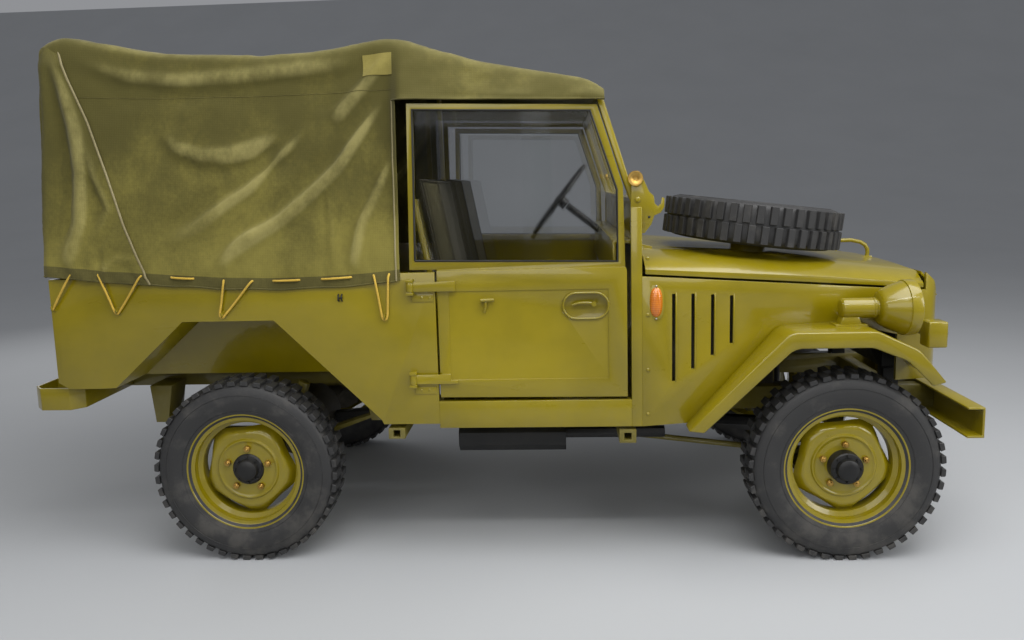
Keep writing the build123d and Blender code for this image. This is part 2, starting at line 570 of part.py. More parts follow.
# Rear tub: side outline with the wheel arch, hollow load space with wheel boxes
WHEELBOX_IN = 505  # inner wall of the wheel boxes
ARCH_TOP = 921
DECK_THICK = 15
GATE_HALF = 560
ARCH = (  # along and up, from the rear foot of the arch to its front foot
    (REAR_AXLE - 455, 678), (REAR_AXLE - 186, ARCH_TOP), (REAR_AXLE + 152, ARCH_TOP), (REAR_AXLE + 530, 547),
)
SKIRT_Z = 531
GATE_PIN_Z = DECK_Z + PANEL_GAP
GATE_BARREL = 6
GATE_EYE = 40  # length of each hinge eye
GATE_EYE_Y = 300
GATE_LEAF = 30
with BuildPart() as rear_tub:
    with BuildSketch(Plane.XZ.offset(-BODY_HALF)):
        with BuildLine():
            Polyline(
                (TUB_REAR, TUB_TOP), (TUB_REAR, 700), (TUB_REAR + 40, DECK_Z - DECK_THICK),
                (REAR_AXLE + 300, DECK_Z - DECK_THICK), (REAR_AXLE + 420, SKIRT_Z), (TUB_FRONT, SKIRT_Z),
                (TUB_FRONT, TUB_TOP), close=True,
            )
        make_face()
    extrude(amount=2 * BODY_HALF)
    # Load space between the wheel boxes and open to the cab
    with BuildSketch(Plane.XZ.offset(-WHEELBOX_IN + DECK_THICK)):
        with BuildLine():
            Polyline(
                (TUB_REAR + TUB_WALL, DECK_Z), (TUB_REAR + TUB_WALL, TUB_TOP + 1), (TUB_FRONT + 1, TUB_TOP + 1),
                (TUB_FRONT + 1, DECK_Z), close=True,
            )
        make_face()
    extrude(amount=2 * (WHEELBOX_IN - DECK_THICK), mode=Mode.SUBTRACT)
    # Space above the wheel boxes, up to the tub's walls
    with BuildSketch(Plane.XZ.offset(-BODY_HALF + TUB_WALL)):
        with BuildLine():
            Polyline(
                (TUB_REAR + TUB_WALL, DECK_Z), (ARCH[0][0] - 10, DECK_Z), (ARCH[1][0] - 8, ARCH_TOP + DECK_THICK),
                (ARCH[2][0] + 8, ARCH_TOP + DECK_THICK), (REAR_AXLE + 400, DECK_Z), (TUB_FRONT + 1, DECK_Z),
                (TUB_FRONT + 1, TUB_TOP + 1), (TUB_REAR + TUB_WALL, TUB_TOP + 1), close=True,
            )
        make_face()
    extrude(amount=2 * (BODY_HALF - TUB_WALL), mode=Mode.SUBTRACT)
    # Below the load floor only the skirts stay
    with BuildSketch(Plane.XZ.offset(-BODY_HALF + TUB_WALL)):
        with BuildLine():
            Polyline(
                (REAR_AXLE + 250, DECK_Z - DECK_THICK), (REAR_AXLE + 430, SKIRT_Z - 10), (TUB_FRONT + 1, SKIRT_Z - 10),
                (TUB_FRONT + 1, DECK_Z - DECK_THICK), close=True,
            )
        make_face()
    extrude(amount=2 * (BODY_HALF - TUB_WALL), mode=Mode.SUBTRACT)
    # Wheel arches, cut in from both sides
    for start, depth in ((-BODY_HALF - 1, BODY_HALF + 1 - WHEELBOX_IN), (WHEELBOX_IN, BODY_HALF + 1 - WHEELBOX_IN)):
        with BuildSketch(Plane.XZ.offset(start)):
            with BuildLine():
                Polyline(
                    ARCH[0], ARCH[1], ARCH[2], ARCH[3], (ARCH[3][0] + 16, SKIRT_Z - 20),
                    (ARCH[0][0] - 60, SKIRT_Z - 20), (ARCH[0][0] - 60, ARCH[0][1] - 2), close=True,
                )
            make_face()
        extrude(amount=depth, mode=Mode.SUBTRACT)
    # Opening for the tailgate
    with BuildSketch(Plane.YZ.offset(TUB_REAR - 1)):
        with Locations((0, DECK_Z)):
            Rectangle(2 * GATE_HALF, TUB_TOP - DECK_Z + 1, align=(Align.CENTER, Align.MIN))
    extrude(amount=TUB_WALL + 2, mode=Mode.SUBTRACT)
    # Fixed eyes of the tailgate hinges, one each side of the tailgate's own
    for eye_y in (GATE_EYE_Y, -GATE_EYE_Y):
        for step in (GATE_EYE + BALL_GAP, -GATE_EYE - BALL_GAP):
            with BuildSketch(Plane.XZ.offset(eye_y + step - GATE_EYE / 2)):
                with Locations((TUB_REAR, GATE_PIN_Z)):
                    RegularPolygon(GATE_BARREL, BAR_SIDES)
                    Rectangle(GATE_LEAF, GATE_PIN_Z - DECK_Z + 4, align=(Align.MIN, Align.MAX))
            extrude(amount=GATE_EYE)
finish(rear_tub, "rear_tub")

# Tailgate: hinged at the load floor's edge
GATE_LOW = DECK_Z + 2 * PANEL_GAP
with BuildPart() as tailgate:
    with BuildSketch(Plane.YZ.offset(TUB_REAR)):
        with Locations((0, GATE_LOW)):
            Rectangle(2 * (GATE_HALF - PANEL_GAP), TUB_TOP - GATE_LOW, align=(Align.CENTER, Align.MIN))
    extrude(amount=TUB_WALL)
    for side in (1, -1):
        with BuildSketch(Plane.XZ.offset(side * GATE_EYE_Y - GATE_EYE / 2)):
            with Locations((TUB_REAR, GATE_PIN_Z)):
                Circle(GATE_BARREL)
                Rectangle(2 * GATE_BARREL, GATE_LOW - GATE_PIN_Z, align=Align.MIN)
        extrude(amount=GATE_EYE)
finish(tailgate, "tailgate")

# Cab floor with sills, tunnel and the step up to the load floor
SILL_TOP = 614
with BuildPart() as cab_floor:
    with BuildSketch(Plane.XY.offset(FLOOR_Z - SHEET)):
        with Locations((TUB_FRONT, 0)):
            Rectangle(POST_REAR - TUB_FRONT, 2 * BODY_HALF, align=(Align.MIN, Align.CENTER))
    extrude(amount=SHEET)
    for side in (1, -1):
        with BuildSketch(Plane.YZ.offset(TUB_FRONT)):
            with Locations((side * (BODY_HALF - DOOR_WALL / 2), SILL_Z)):
                Rectangle(DOOR_WALL, SILL_TOP - SILL_Z, align=(Align.CENTER, Align.MIN))
        extrude(amount=POST_REAR - TUB_FRONT)
    with BuildSketch(Plane.YZ.offset(TUB_FRONT)):
        with Locations((0, FLOOR_Z)):
            Rectangle(2 * TUNNEL_HALF, TUNNEL_TOP - FLOOR_Z, align=(Align.CENTER, Align.MIN))
        with Locations((0, FLOOR_Z - SHEET)):
            Rectangle(
                2 * (TUNNEL_HALF - SHEET), TUNNEL_TOP - FLOOR_Z, align=(Align.CENTER, Align.MIN), mode=Mode.SUBTRACT
            )
    extrude(amount=POST_REAR - TUB_FRONT)
    with BuildSketch(Plane.YZ.offset(TUB_FRONT)):
        with Locations((0, FLOOR_Z - 2 * SHEET)):
            Rectangle(2 * (TUNNEL_HALF - SHEET), 3 * SHEET, align=(Align.CENTER, Align.MIN))
    extrude(amount=POST_REAR - TUB_FRONT, mode=Mode.SUBTRACT)
    with BuildSketch(Plane.YZ.offset(TUB_FRONT)):
        with Locations((0, FLOOR_Z - SHEET)):
            Rectangle(
                2 * (BODY_HALF - DOOR_WALL - PANEL_GAP), DECK_Z - FLOOR_Z + SHEET, align=(Align.CENTER, Align.MIN)
            )
        with Locations((0, FLOOR_Z - 2 * SHEET)):
            Rectangle(
                2 * (TUNNEL_HALF - SHEET), TUNNEL_TOP - FLOOR_Z + SHEET,
                align=(Align.CENTER, Align.MIN), mode=Mode.SUBTRACT,
            )
    extrude(amount=SHEET)
finish(cab_floor, "cab_floor")

# Scuttle: firewall, door posts, scuttle top and dash
FIREWALL_X = POST_FRONT
DASH_X = POST_REAR - 60
DASH_LOW = 1020
POST_TOP = 1297
COLUMN_Y = 375
STEER_CENTRE = (REAR_AXLE + 1192, COLUMN_Y, 1304)
COLUMN_TILT = 38
COLUMN_RADIUS = 16
BONNET_PIN_X = POST_FRONT + 6
BONNET_PIN_Z = 1142
BONNET_BARREL = 5
BONNET_EYE = 40  # length of each hinge eye
BONNET_EYE_Y = 400
with BuildPart() as scuttle:
    with BuildSketch(Plane.XZ.offset(-BODY_HALF)):
        with BuildLine():
            Polyline(
                (FIREWALL_X, FLOOR_Z - SHEET), (FIREWALL_X, SCUTTLE_Z), (DASH_X, SCUTTLE_Z), (DASH_X, DASH_LOW),
                (DASH_X + SHEET, DASH_LOW), (DASH_X + SHEET, SCUTTLE_Z - SHEET),
                (FIREWALL_X - SHEET, SCUTTLE_Z - SHEET), (FIREWALL_X - SHEET, FLOOR_Z), (POST_REAR, FLOOR_Z),
                (POST_REAR, FLOOR_Z - SHEET), close=True,
            )
        make_face()
    extrude(amount=2 * BODY_HALF)
    # The dash ends inside the doors
    for side in (1, -1):
        with BuildSketch(Plane.XY.offset(DASH_LOW - 1)):
            with Locations((DASH_X - 1, side * (FRAME_IN - PANEL_GAP))):
                Rectangle(
                    POST_REAR - DASH_X + 1, BODY_HALF, align=(Align.MIN, Align.MIN if side > 0 else Align.MAX)
                )
        extrude(amount=SCUTTLE_Z - DASH_LOW + 2, mode=Mode.SUBTRACT)
        with BuildSketch(Plane.XZ.offset(-side * (BODY_HALF - DOOR_WALL / 2))):
            with Locations(((POST_REAR + POST_FRONT) / 2, SILL_Z)):
                Rectangle(POST_FRONT - POST_REAR, POST_TOP - SILL_Z, align=(Align.CENTER, Align.MIN))
        extrude(amount=DOOR_WALL / 2, both=True)
    # Holes for the steering column, and the gearbox's way through
    with BuildSketch(Plane(origin=STEER_CENTRE, z_dir=(cos(radians(COLUMN_TILT)), 0, -sin(radians(COLUMN_TILT))))):
        RegularPolygon(COLUMN_RADIUS + RUN_GAP, PIN_SIDES, major_radius=False)
    extrude(amount=600, mode=Mode.SUBTRACT)
    with BuildSketch(Plane.YZ.offset(POST_REAR - 1)):
        with Locations((0, SILL_Z - 1)):
            Rectangle(2 * (TUNNEL_HALF - SHEET), TUNNEL_TOP - SILL_Z - SHEET + 1, align=(Align.CENTER, Align.MIN))
    extrude(amount=POST_FRONT - POST_REAR + 2, mode=Mode.SUBTRACT)
    # Fixed eyes of the bonnet hinges, one each side of the bonnet's own
    for eye_y in (BONNET_EYE_Y, -BONNET_EYE_Y):
        for step in (BONNET_EYE + BALL_GAP, -BONNET_EYE - BALL_GAP):
            with BuildSketch(Plane.XZ.offset(eye_y + step - BONNET_EYE / 2)):
                with Locations((BONNET_PIN_X, BONNET_PIN_Z)):
                    RegularPolygon(BONNET_BARREL, BAR_SIDES)
                    Rectangle(BONNET_PIN_X - POST_FRONT, 2 * BONNET_BARREL, align=(Align.MAX, Align.CENTER))
            extrude(amount=BONNET_EYE)
finish(scuttle, "scuttle")

# Steering column and hand wheel
COLUMN_PLANE = Plane(
    origin=STEER_CENTRE, x_dir=(0, 1, 0), z_dir=(cos(radians(COLUMN_TILT)), 0, -sin(radians(COLUMN_TILT)))
)
STEER_RADIUS = 205
STEER_RIM = 11
COLUMN_LENGTH = 1150
BOX_LOW = RAIL_TOP + RAIL_RISE + BALL_GAP
BOX_TALL = 130
BOX_REAR = FRONT_AXLE - 90
with BuildPart() as steering_column:
    with BuildSketch(COLUMN_PLANE.offset(50)):
        Circle(COLUMN_RADIUS)
    extrude(amount=COLUMN_LENGTH)
    # Steering box on the left-hand rail
    with BuildSketch(Plane.XY.offset(BOX_LOW)):
        with Locations((BOX_REAR, DROP_Y - 35)):
            Rectangle(105, COLUMN_Y + 55 - DROP_Y, align=Align.MIN)
    extrude(amount=BOX_TALL)
finish(steering_column, "steering_column")
with BuildPart() as steering_wheel:
    with BuildSketch(COLUMN_PLANE.offset(-STEER_RIM)):
        RegularPolygon(STEER_RADIUS, WHEEL_SIDES)
        RegularPolygon(STEER_RADIUS - 2 * STEER_RIM, WHEEL_SIDES, mode=Mode.SUBTRACT)
        with PolarLocations((STEER_RADIUS - STEER_RIM) / 2, 3):
            Rectangle(STEER_RADIUS - STEER_RIM, 16)
        RegularPolygon(30, PIN_SIDES)
    extrude(amount=2 * STEER_RIM)
    with BuildSketch(COLUMN_PLANE.offset(STEER_RIM)):
        RegularPolygon(26, PIN_SIDES)
    extrude(amount=50 - STEER_RIM - BALL_GAP)
finish(steering_wheel, "steering_wheel")

# Windshield: leaning frame with two panes
SHIELD_HALF = BODY_HALF - 43
SHIELD_BEND = (REAR_AXLE + 1432, 1400)  # front edge of the pillars where they start to lean
SHIELD_TOP = (REAR_AXLE + 1344, 1680)
SHIELD_THICK = 24
PANE_LOW = 1330
PANE_TOP = 1650
PANE_OUT = SHIELD_HALF - 37
POST_HALF = 14
with BuildPart() as windshield_frame:
    with BuildSketch(Plane.XZ.offset(-SHIELD_HALF)):
        with BuildLine():
            Polyline(
                (POST_FRONT, SCUTTLE_Z), (POST_FRONT, PANE_LOW - 20), SHIELD_BEND, SHIELD_TOP,
                (SHIELD_TOP[0] - SHIELD_THICK, SHIELD_TOP[1]), (SHIELD_BEND[0] - SHIELD_THICK, SHIELD_BEND[1]),
                (POST_FRONT - SHIELD_THICK - 10, PANE_LOW - 20), (POST_FRONT - SHIELD_THICK - 10, SCUTTLE_Z),
                close=True,
            )
        make_face()
    extrude(amount=2 * SHIELD_HALF)
    for side in (1, -1):
        with BuildSketch(Plane.YZ.offset(SHIELD_TOP[0] - 100)):
            with Locations((side * (PANE_OUT + POST_HALF) / 2, PANE_LOW)):
                Rectangle(PANE_OUT - POST_HALF, PANE_TOP - PANE_LOW, align=(Align.CENTER, Align.MIN))
        extrude(amount=300, mode=Mode.SUBTRACT)
    # The frame stops short of the door posts below
    for side in (1, -1):
        with BuildSketch(Plane.XY.offset(SCUTTLE_Z)):
            with Locations((POST_FRONT, side * SHIELD_HALF)):
                Rectangle(200, PANEL_GAP, align=(Align.CENTER, Align.MAX if side > 0 else Align.MIN))
        extrude(amount=POST_TOP - SCUTTLE_Z, mode=Mode.SUBTRACT)
finish(windshield_frame, "windshield_frame")
GLASS = 5
lean = (SHIELD_BEND[0] - SHIELD_TOP[0]) / (SHIELD_TOP[1] - SHIELD_BEND[1])
with BuildPart() as windshield_glass:
    for side in (1, -1):
        pane_in = min(side * POST_HALF, side * PANE_OUT)
        with BuildSketch(Plane.XZ.offset(-pane_in - PANE_OUT + POST_HALF)):
            with BuildLine():
                glass_x = SHIELD_BEND[0] - SHIELD_THICK / 2
                Polyline(
                    (glass_x + 14, PANE_LOW), (glass_x, SHIELD_BEND[1]),
                    (glass_x - lean * (PANE_TOP - SHIELD_BEND[1]), PANE_TOP),
                    (glass_x - lean * (PANE_TOP - SHIELD_BEND[1]) - GLASS, PANE_TOP),
                    (glass_x - GLASS, SHIELD_BEND[1]), (glass_x + 14 - GLASS, PANE_LOW), close=True,
                )
            make_face()
        extrude(amount=PANE_OUT - POST_HALF)
finish(windshield_glass, "windshield_glass")

# Engine bay sides: they close in from the door posts to the nose
BAY_REAR = POST_FRONT
BAY_FRONT = FRONT_AXLE + 240
NOSE_FACE = FRONT_AXLE + 410
NOSE_HALF = 520  # half width where sides and nose meet
SIDE_SLOPE = (BODY_HALF - NOSE_HALF) / (BAY_FRONT - BAY_REAR)
SEAM_REAR_Z = 1056
SEAM_FRONT_Z = 958  # seam under the bonnet's skirt, at the bonnet's front edge
BONNET_REAR = POST_FRONT + 12
BONNET_FRONT = FRONT_AXLE + 340
SEAM_SLOPE = (SEAM_REAR_Z - SEAM_FRONT_Z) / (BONNET_FRONT - BAY_REAR)


def bay_half(x):
    """Half width of the engine bay at a station."""
    return BODY_HALF - SIDE_SLOPE * (x - BAY_REAR)


def seam_z(x):
    """Height of the seam between sides and bonnet at a station."""
    return SEAM_REAR_Z - SEAM_SLOPE * (x - BAY_REAR)


# Front wings in side view: crown line and lip line, along and up
WING = (
    (REAR_AXLE + 1628, 509, REAR_AXLE + 1682, 502),
    (FRONT_AXLE - 228, 857, FRONT_AXLE - 210, 800),
    (FRONT_AXLE + 70, 857, FRONT_AXLE + 55, 800),
    (FRONT_AXLE + 210, 790, FRONT_AXLE + 172, 752),
    (FRONT_AXLE + 304, 676, FRONT_AXLE + 259, 663),
)
WING_BEND = 70  # radius at the crown's corners
WING_SHEET = 0.3  # thickness of the crown as a share of the lip's depth
crown = [(x, z) for x, z, _, _ in WING]
lip = [(x, z) for _, _, x, z in WING]
under = [(x + WING_SHEET * (u - x), z + WING_SHEET * (w - z)) for x, z, u, w in WING]
LIP_SHEET = 12

# Louvres: distance from the rear axle, lower end and upper end
LOUVRES = ((1586, 673, 989), (1656, 714, 986), (1728, 759, 980), (1798, 799, 973))
LOUVRE_WIDTH = 12
with BuildPart() as side_panels:
    with BuildSketch(Plane.XY.offset(SILL_Z)):
        with BuildLine():
            Polyline(
                (BAY_REAR, BODY_HALF), (BAY_FRONT, NOSE_HALF), (BAY_FRONT, NOSE_HALF - SHEET),
                (BAY_REAR, BODY_HALF - SHEET), close=True,
            )
        make_face()
    extrude(amount=SEAM_REAR_Z - SILL_Z)
    with BuildSketch(Plane.XZ.offset(-BODY_HALF)):
        with BuildLine():
            Polyline(
                (BAY_REAR, SILL_Z), under[0], under[1], under[2], (BAY_FRONT, under[3][1] + 16),
                (BAY_FRONT, seam_z(BAY_FRONT)), (BAY_REAR, SEAM_REAR_Z), close=True,
            )
        make_face()
        for station, low, top in LOUVRES:
            with Locations((REAR_AXLE + station, low)):
                Rectangle(LOUVRE_WIDTH, top - low, align=(Align.CENTER, Align.MIN), mode=Mode.SUBTRACT)
    extrude(amount=BODY_HALF, mode=Mode.INTERSECT)
    mirror(about=Plane.XZ)
finish(side_panels, "side_panels")

with BuildPart() as front_wings:
    with BuildSketch(Plane.XZ.offset(-FENDER_HALF)):
        with BuildLine():
            FilletPolyline(*crown, radius=WING_BEND)
            Line(crown[-1], under[-1])
            FilletPolyline(*under[::-1], radius=WING_BEND)
            Line(under[0], crown[0])
        make_face()
    extrude(amount=FENDER_HALF - NOSE_HALF + 60)
    with BuildSketch(Plane.XZ.offset(-FENDER_HALF)):
        with BuildLine():
            FilletPolyline(*crown, radius=WING_BEND)
            Line(crown[-1], lip[-1])
            FilletPolyline(*lip[::-1], radius=WING_BEND)
            Line(lip[0], crown[0])
        make_face()
    extrude(amount=LIP_SHEET)
    # The wing starts at the outer face of the engine bay's side
    with BuildSketch(Plane.XY.offset(SILL_Z - 60)):
        with BuildLine():
            Polyline(
                (BAY_REAR, 0), (BAY_REAR, BODY_HALF), (BAY_FRONT, NOSE_HALF),
                (NOSE_FACE, bay_half(NOSE_FACE)), (NOSE_FACE, 0), close=True,
            )
        make_face()
    extrude(amount=500, mode=Mode.SUBTRACT)
    mirror(about=Plane.XZ)
finish(front_wings, "front_wings")

# Nose: rounded in plan and in side view, hollow, with upright grille slots
NOSE_LOW = 620
NOSE_SHEET = 14
NOSE_CORNER = 70
GRILLE_SLOTS = 11
GRILLE_PITCH = 64
GRILLE_SLOT = 30
GRILLE_LOW = 650
GRILLE_TOP = 900
nose_side = (NOSE_FACE, bay_half(NOSE_FACE))
BROW_REAR = (BONNET_FRONT + PANEL_GAP, 1022)  # rounded top edge of the nose in side view
BROW_MIDDLE = (NOSE_FACE - 25, 990)
BROW_FRONT = (NOSE_FACE, 930)
with BuildPart() as nose:
    for inset, mode in ((0, Mode.ADD), (NOSE_SHEET, Mode.SUBTRACT)):
        with BuildSketch(Plane.XY.offset(NOSE_LOW - inset)) as nose_plan:
            with BuildLine():
                Polyline(
                    (BAY_FRONT - inset, NOSE_HALF - inset), (NOSE_FACE - inset, nose_side[1] - inset),
                    (NOSE_FACE - inset, -nose_side[1] + inset), (BAY_FRONT - inset, -NOSE_HALF + inset), close=True,
                )
            make_face()
            fillet(nose_plan.vertices().group_by(Axis.X)[-1], radius=NOSE_CORNER - inset)
        extrude(amount=SCUTTLE_Z - NOSE_LOW, mode=mode)
    with BuildSketch(Plane.XZ.offset(-NOSE_HALF)):
        with BuildLine():
            Polyline(
                (BAY_FRONT, NOSE_LOW), (BAY_FRONT, seam_z(BAY_FRONT)), (BONNET_FRONT + PANEL_GAP, seam_z(BONNET_FRONT)),
                BROW_REAR, BROW_MIDDLE, BROW_FRONT, (NOSE_FACE, NOSE_LOW), close=True,
            )
        make_face()
    extrude(amount=2 * NOSE_HALF, mode=Mode.INTERSECT)
    with BuildSketch(Plane.XZ.offset(-NOSE_HALF + NOSE_CORNER)):
        with BuildLine():
            Polyline(
                BROW_REAR, (BROW_REAR[0], BROW_REAR[1] - 12), (NOSE_FACE - 30, 978),
                (NOSE_FACE - NOSE_SHEET, 925), BROW_FRONT, BROW_MIDDLE, close=True,
            )
        make_face()
    extrude(amount=2 * (NOSE_HALF - NOSE_CORNER))
    with BuildSketch(Plane.YZ.offset(NOSE_FACE - 4 * NOSE_SHEET)):
        with Locations((0, (GRILLE_LOW + GRILLE_TOP) / 2)):
            with GridLocations(GRILLE_PITCH, 1, GRILLE_SLOTS, 1):
                Rectangle(GRILLE_SLOT, GRILLE_TOP - GRILLE_LOW)
    extrude(amount=5 * NOSE_SHEET, mode=Mode.SUBTRACT)
finish(nose, "nose")

RADIATOR_X = NOSE_FACE - 140
RADIATOR_WIDE = 620
RADIATOR_HIGH = 330
RADIATOR_DEEP = 60
with BuildPart() as radiator:
    with BuildSketch(Plane.YZ.offset(RADIATOR_X)):
        with Locations((0, NOSE_LOW)):
            Rectangle(RADIATOR_WIDE, RADIATOR_HIGH, align=(Align.CENTER, Align.MIN))
    extrude(amount=RADIATOR_DEEP)
    with BuildSketch(Plane.YZ.offset(RADIATOR_X)):
        with Locations((0, RAIL_TOP + RAIL_RISE)):
            Rectangle(2 * RAIL_OUT, NOSE_LOW - RAIL_TOP - RAIL_RISE, align=(Align.CENTER, Align.MIN))
            Rectangle(
                2 * RAIL_IN, NOSE_LOW - RAIL_TOP - RAIL_RISE, align=(Align.CENTER, Align.MIN), mode=Mode.SUBTRACT
            )
    extrude(amount=RADIATOR_DEEP)
finish(radiator, "radiator")

# Bonnet: shell over three sections, with its handle and the spare wheel's post
# Sections: station, half width of the top, its edge height, crown height
BONNET_SECTIONS = (
    (BONNET_REAR, 640, 1120, 1138),
    (FRONT_AXLE - 40, 505, 1064, 1080),
    (BONNET_FRONT, 425, 1022, 1034),
)
BONNET_SHEET = 12
SHOULDER = 40  # fall of the rounded shoulder
LEAF_REACH = 60  # hinge leaves along the bonnet
SPARE_X = REAR_AXLE + 1965
SPARE_Y = -225
SPARE_Z = 1210
SPARE_TILT = 7.1
SPARE_PLANE = Plane(
    origin=(SPARE_X, SPARE_Y, SPARE_Z),
    x_dir=(cos(radians(SPARE_TILT)), 0, -sin(radians(SPARE_TILT))),
    z_dir=(sin(radians(SPARE_TILT)), 0, cos(radians(SPARE_TILT))),
)


def bonnet_section(x, flat, edge_z, crown_z, inset):
    """Corners across the bonnet at one station, drawn smaller by the inset."""
    out = bay_half(x) - 4 - inset
    foot = seam_z(x) + PANEL_GAP - (1 if inset else 0)
    shoulder_z = edge_z - SHOULDER
    outline = [
        *arch(flat, edge_z - inset, crown_z - inset), (out, shoulder_z), (out, foot), (-out, foot), (-out, shoulder_z)
    ]
    return [(x, y, z) for y, z in outline]


with BuildPart() as bonnet:
    for inset, mode in ((0, Mode.ADD), (BONNET_SHEET, Mode.SUBTRACT)):
        add(skin([bonnet_section(*row, inset) for row in BONNET_SECTIONS]), mode=mode)
    with BuildSketch(SPARE_PLANE.offset(-124)):
        RegularPolygon(70, WHEEL_SIDES)
    extrude(amount=124 + DISC_OUT)
    # Hinge leaves with their eyes
    for side in (1, -1):
        with BuildSketch(Plane.XZ.offset(side * BONNET_EYE_Y - BONNET_EYE / 2)):
            with Locations((BONNET_PIN_X, BONNET_PIN_Z)):
                Circle(BONNET_BARREL)
            with BuildLine():
                Polyline(
                    (BONNET_PIN_X, BONNET_PIN_Z + BONNET_BARREL), (BONNET_REAR + 4, BONNET_PIN_Z + BONNET_BARREL),
                    (BONNET_REAR + LEAF_REACH, BONNET_PIN_Z - 8), (BONNET_REAR + LEAF_REACH, BONNET_PIN_Z - 20),
                    (BONNET_REAR + 4, BONNET_PIN_Z - 14), (BONNET_REAR + 4, BONNET_PIN_Z),
                    (BONNET_PIN_X, BONNET_PIN_Z), close=True,
                )
            make_face()
        extrude(amount=BONNET_EYE)
finish(bonnet, "bonnet")

with BuildPart(SPARE_PLANE) as spare_tyre:
    add(tyre.part)
finish(spare_tyre, "spare_tyre")
with BuildPart(SPARE_PLANE) as spare_rim:
    add(rim(DISC_OUT, DISC_OUT + 2 * DISC_WALL))
finish(spare_rim, "spare_rim")

# Doors: slab below, window frame above, straps that reach back to the pins
DOOR_BOTTOM = 630
PIN_Y = BODY_HALF + HINGE_OUT
HINGE_HEIGHTS = (700, 1035)
STRAP_HIGH = 34
STRAP_END = REAR_AXLE + 815
HINGE_PIN = 7
EYE_RADIUS = 13
# Window frame: rear foot, rear head, front head, front bend, front foot
FRAME_OUTER = (
    (REAR_AXLE + 650, TUB_TOP + PANEL_GAP), (REAR_AXLE + 663, 1674), (REAR_AXLE + 1322, 1652),
    (REAR_AXLE + 1410, 1372), (DOOR_FRONT - 4, BELT_Z), (TUB_FRONT + PANEL_GAP, BELT_Z - 6),
    (TUB_FRONT + PANEL_GAP, TUB_TOP + PANEL_GAP),
)
FRAME_INNER = (
    (REAR_AXLE + 672, 1125), (REAR_AXLE + 682, 1652), (REAR_AXLE + 1299, 1632), (REAR_AXLE + 1388, 1360),
    (REAR_AXLE + 1390, 1110),
)
HANDLE_X = REAR_AXLE + 1272
HANDLE_Z = 955
RECESS_LONG = 160
RECESS_HIGH = 90
RECESS_CORNER = 24
RECESS_DEEP = 20
with BuildPart() as door_left:
    with BuildSketch(Plane.XZ.offset(-BODY_HALF)):
        with BuildLine():
            Polyline(
                (TUB_FRONT + PANEL_GAP, DOOR_BOTTOM), (DOOR_FRONT, DOOR_BOTTOM - 4), (DOOR_FRONT, BELT_Z - 12),
                (DOOR_FRONT - 4, BELT_Z), (TUB_FRONT + PANEL_GAP, BELT_Z), close=True,
            )
        make_face()
    extrude(amount=DOOR_WALL)
    with BuildSketch(Plane.XZ.offset(-BODY_HALF)) as recess:
        with Locations((HANDLE_X, HANDLE_Z)):
            Rectangle(RECESS_LONG, RECESS_HIGH)
        chamfer(recess.vertices(), RECESS_CORNER)
    extrude(amount=RECESS_DEEP, mode=Mode.SUBTRACT)
    with BuildSketch(Plane.XZ.offset(-FRAME_OUT)):
        with BuildLine():
            Polyline(*FRAME_OUTER, close=True)
        make_face()
        with BuildLine():
            Polyline(*FRAME_INNER, close=True)
        make_face(mode=Mode.SUBTRACT)
    extrude(amount=FRAME_OUT - FRAME_IN)
    for height in HINGE_HEIGHTS:
        with BuildSketch(Plane.XY.offset(height - STRAP_HIGH / 2)):
            with Locations((HINGE_X, PIN_Y)):
                RegularPolygon(EYE_RADIUS, PIN_SIDES)
            with Locations((HINGE_X, BODY_HALF + RUN_GAP + 2)):
                Rectangle(STRAP_END - HINGE_X, 8, align=(Align.MIN, Align.MIN))
            with Locations((TUB_FRONT + 2 * PANEL_GAP, BODY_HALF)):
                Rectangle(STRAP_END - TUB_FRONT - 2 * PANEL_GAP, RUN_GAP + 4, align=(Align.MIN, Align.MIN))
            with Locations((HINGE_X, PIN_Y)):
                RegularPolygon(HINGE_PIN + PIN_GAP, PIN_SIDES, major_radius=False, mode=Mode.SUBTRACT)
        extrude(amount=STRAP_HIGH)
finish(door_left, "door_left")
with BuildPart() as door_right:
    add(door_left.part)
    mirror(about=Plane.XZ, mode=Mode.REPLACE)
finish(door_right, "door_right")

# Sliding panes: rear and front stations, distance out
PANES = ((672, 1160, FRAME_IN + 8), (1060, 1390, FRAME_OUT - 12))
PANE = 4
with BuildPart() as door_glass_left:
    for rear, front, out in PANES:
        with BuildSketch(Plane.XZ.offset(-out - PANE)):
            with BuildLine():
                Polyline(*FRAME_INNER, close=True)
            make_face()
            with Locations((REAR_AXLE + rear, 1100)):
                Rectangle(front - rear, 600, align=Align.MIN, mode=Mode.INTERSECT)
        extrude(amount=PANE)
finish(door_glass_left, "door_glass_left")
with BuildPart() as door_glass_right:
    add(door_glass_left.part)
    mirror(about=Plane.XZ, mode=Mode.REPLACE)
finish(door_glass_right, "door_glass_right")

# Hinge brackets on the tub: plates above and below each eye, with the pin
HINGE_PLATE = 10
with BuildPart() as hinge_brackets:
    for height in HINGE_HEIGHTS:
        for foot in (height + STRAP_HIGH / 2 + BALL_GAP, height - STRAP_HIGH / 2 - BALL_GAP - HINGE_PLATE):
            with BuildSketch(Plane.XY.offset(foot)):
                with Locations((HINGE_X, BODY_HALF)):
                    Rectangle(2 * EYE_RADIUS, HINGE_OUT + EYE_RADIUS, align=(Align.CENTER, Align.MIN))
            extrude(amount=HINGE_PLATE)
        with BuildSketch(Plane.XY.offset(height - STRAP_HIGH / 2 - BALL_GAP)):
            with Locations((HINGE_X, PIN_Y)):
                if height == HINGE_HEIGHTS[-1]:
                    Circle(HINGE_PIN)
                else:
                    RegularPolygon(HINGE_PIN, PIN_SIDES)
        extrude(amount=STRAP_HIGH + 2 * BALL_GAP)
    mirror(about=Plane.XZ)
finish(hinge_brackets, "hinge_brackets")

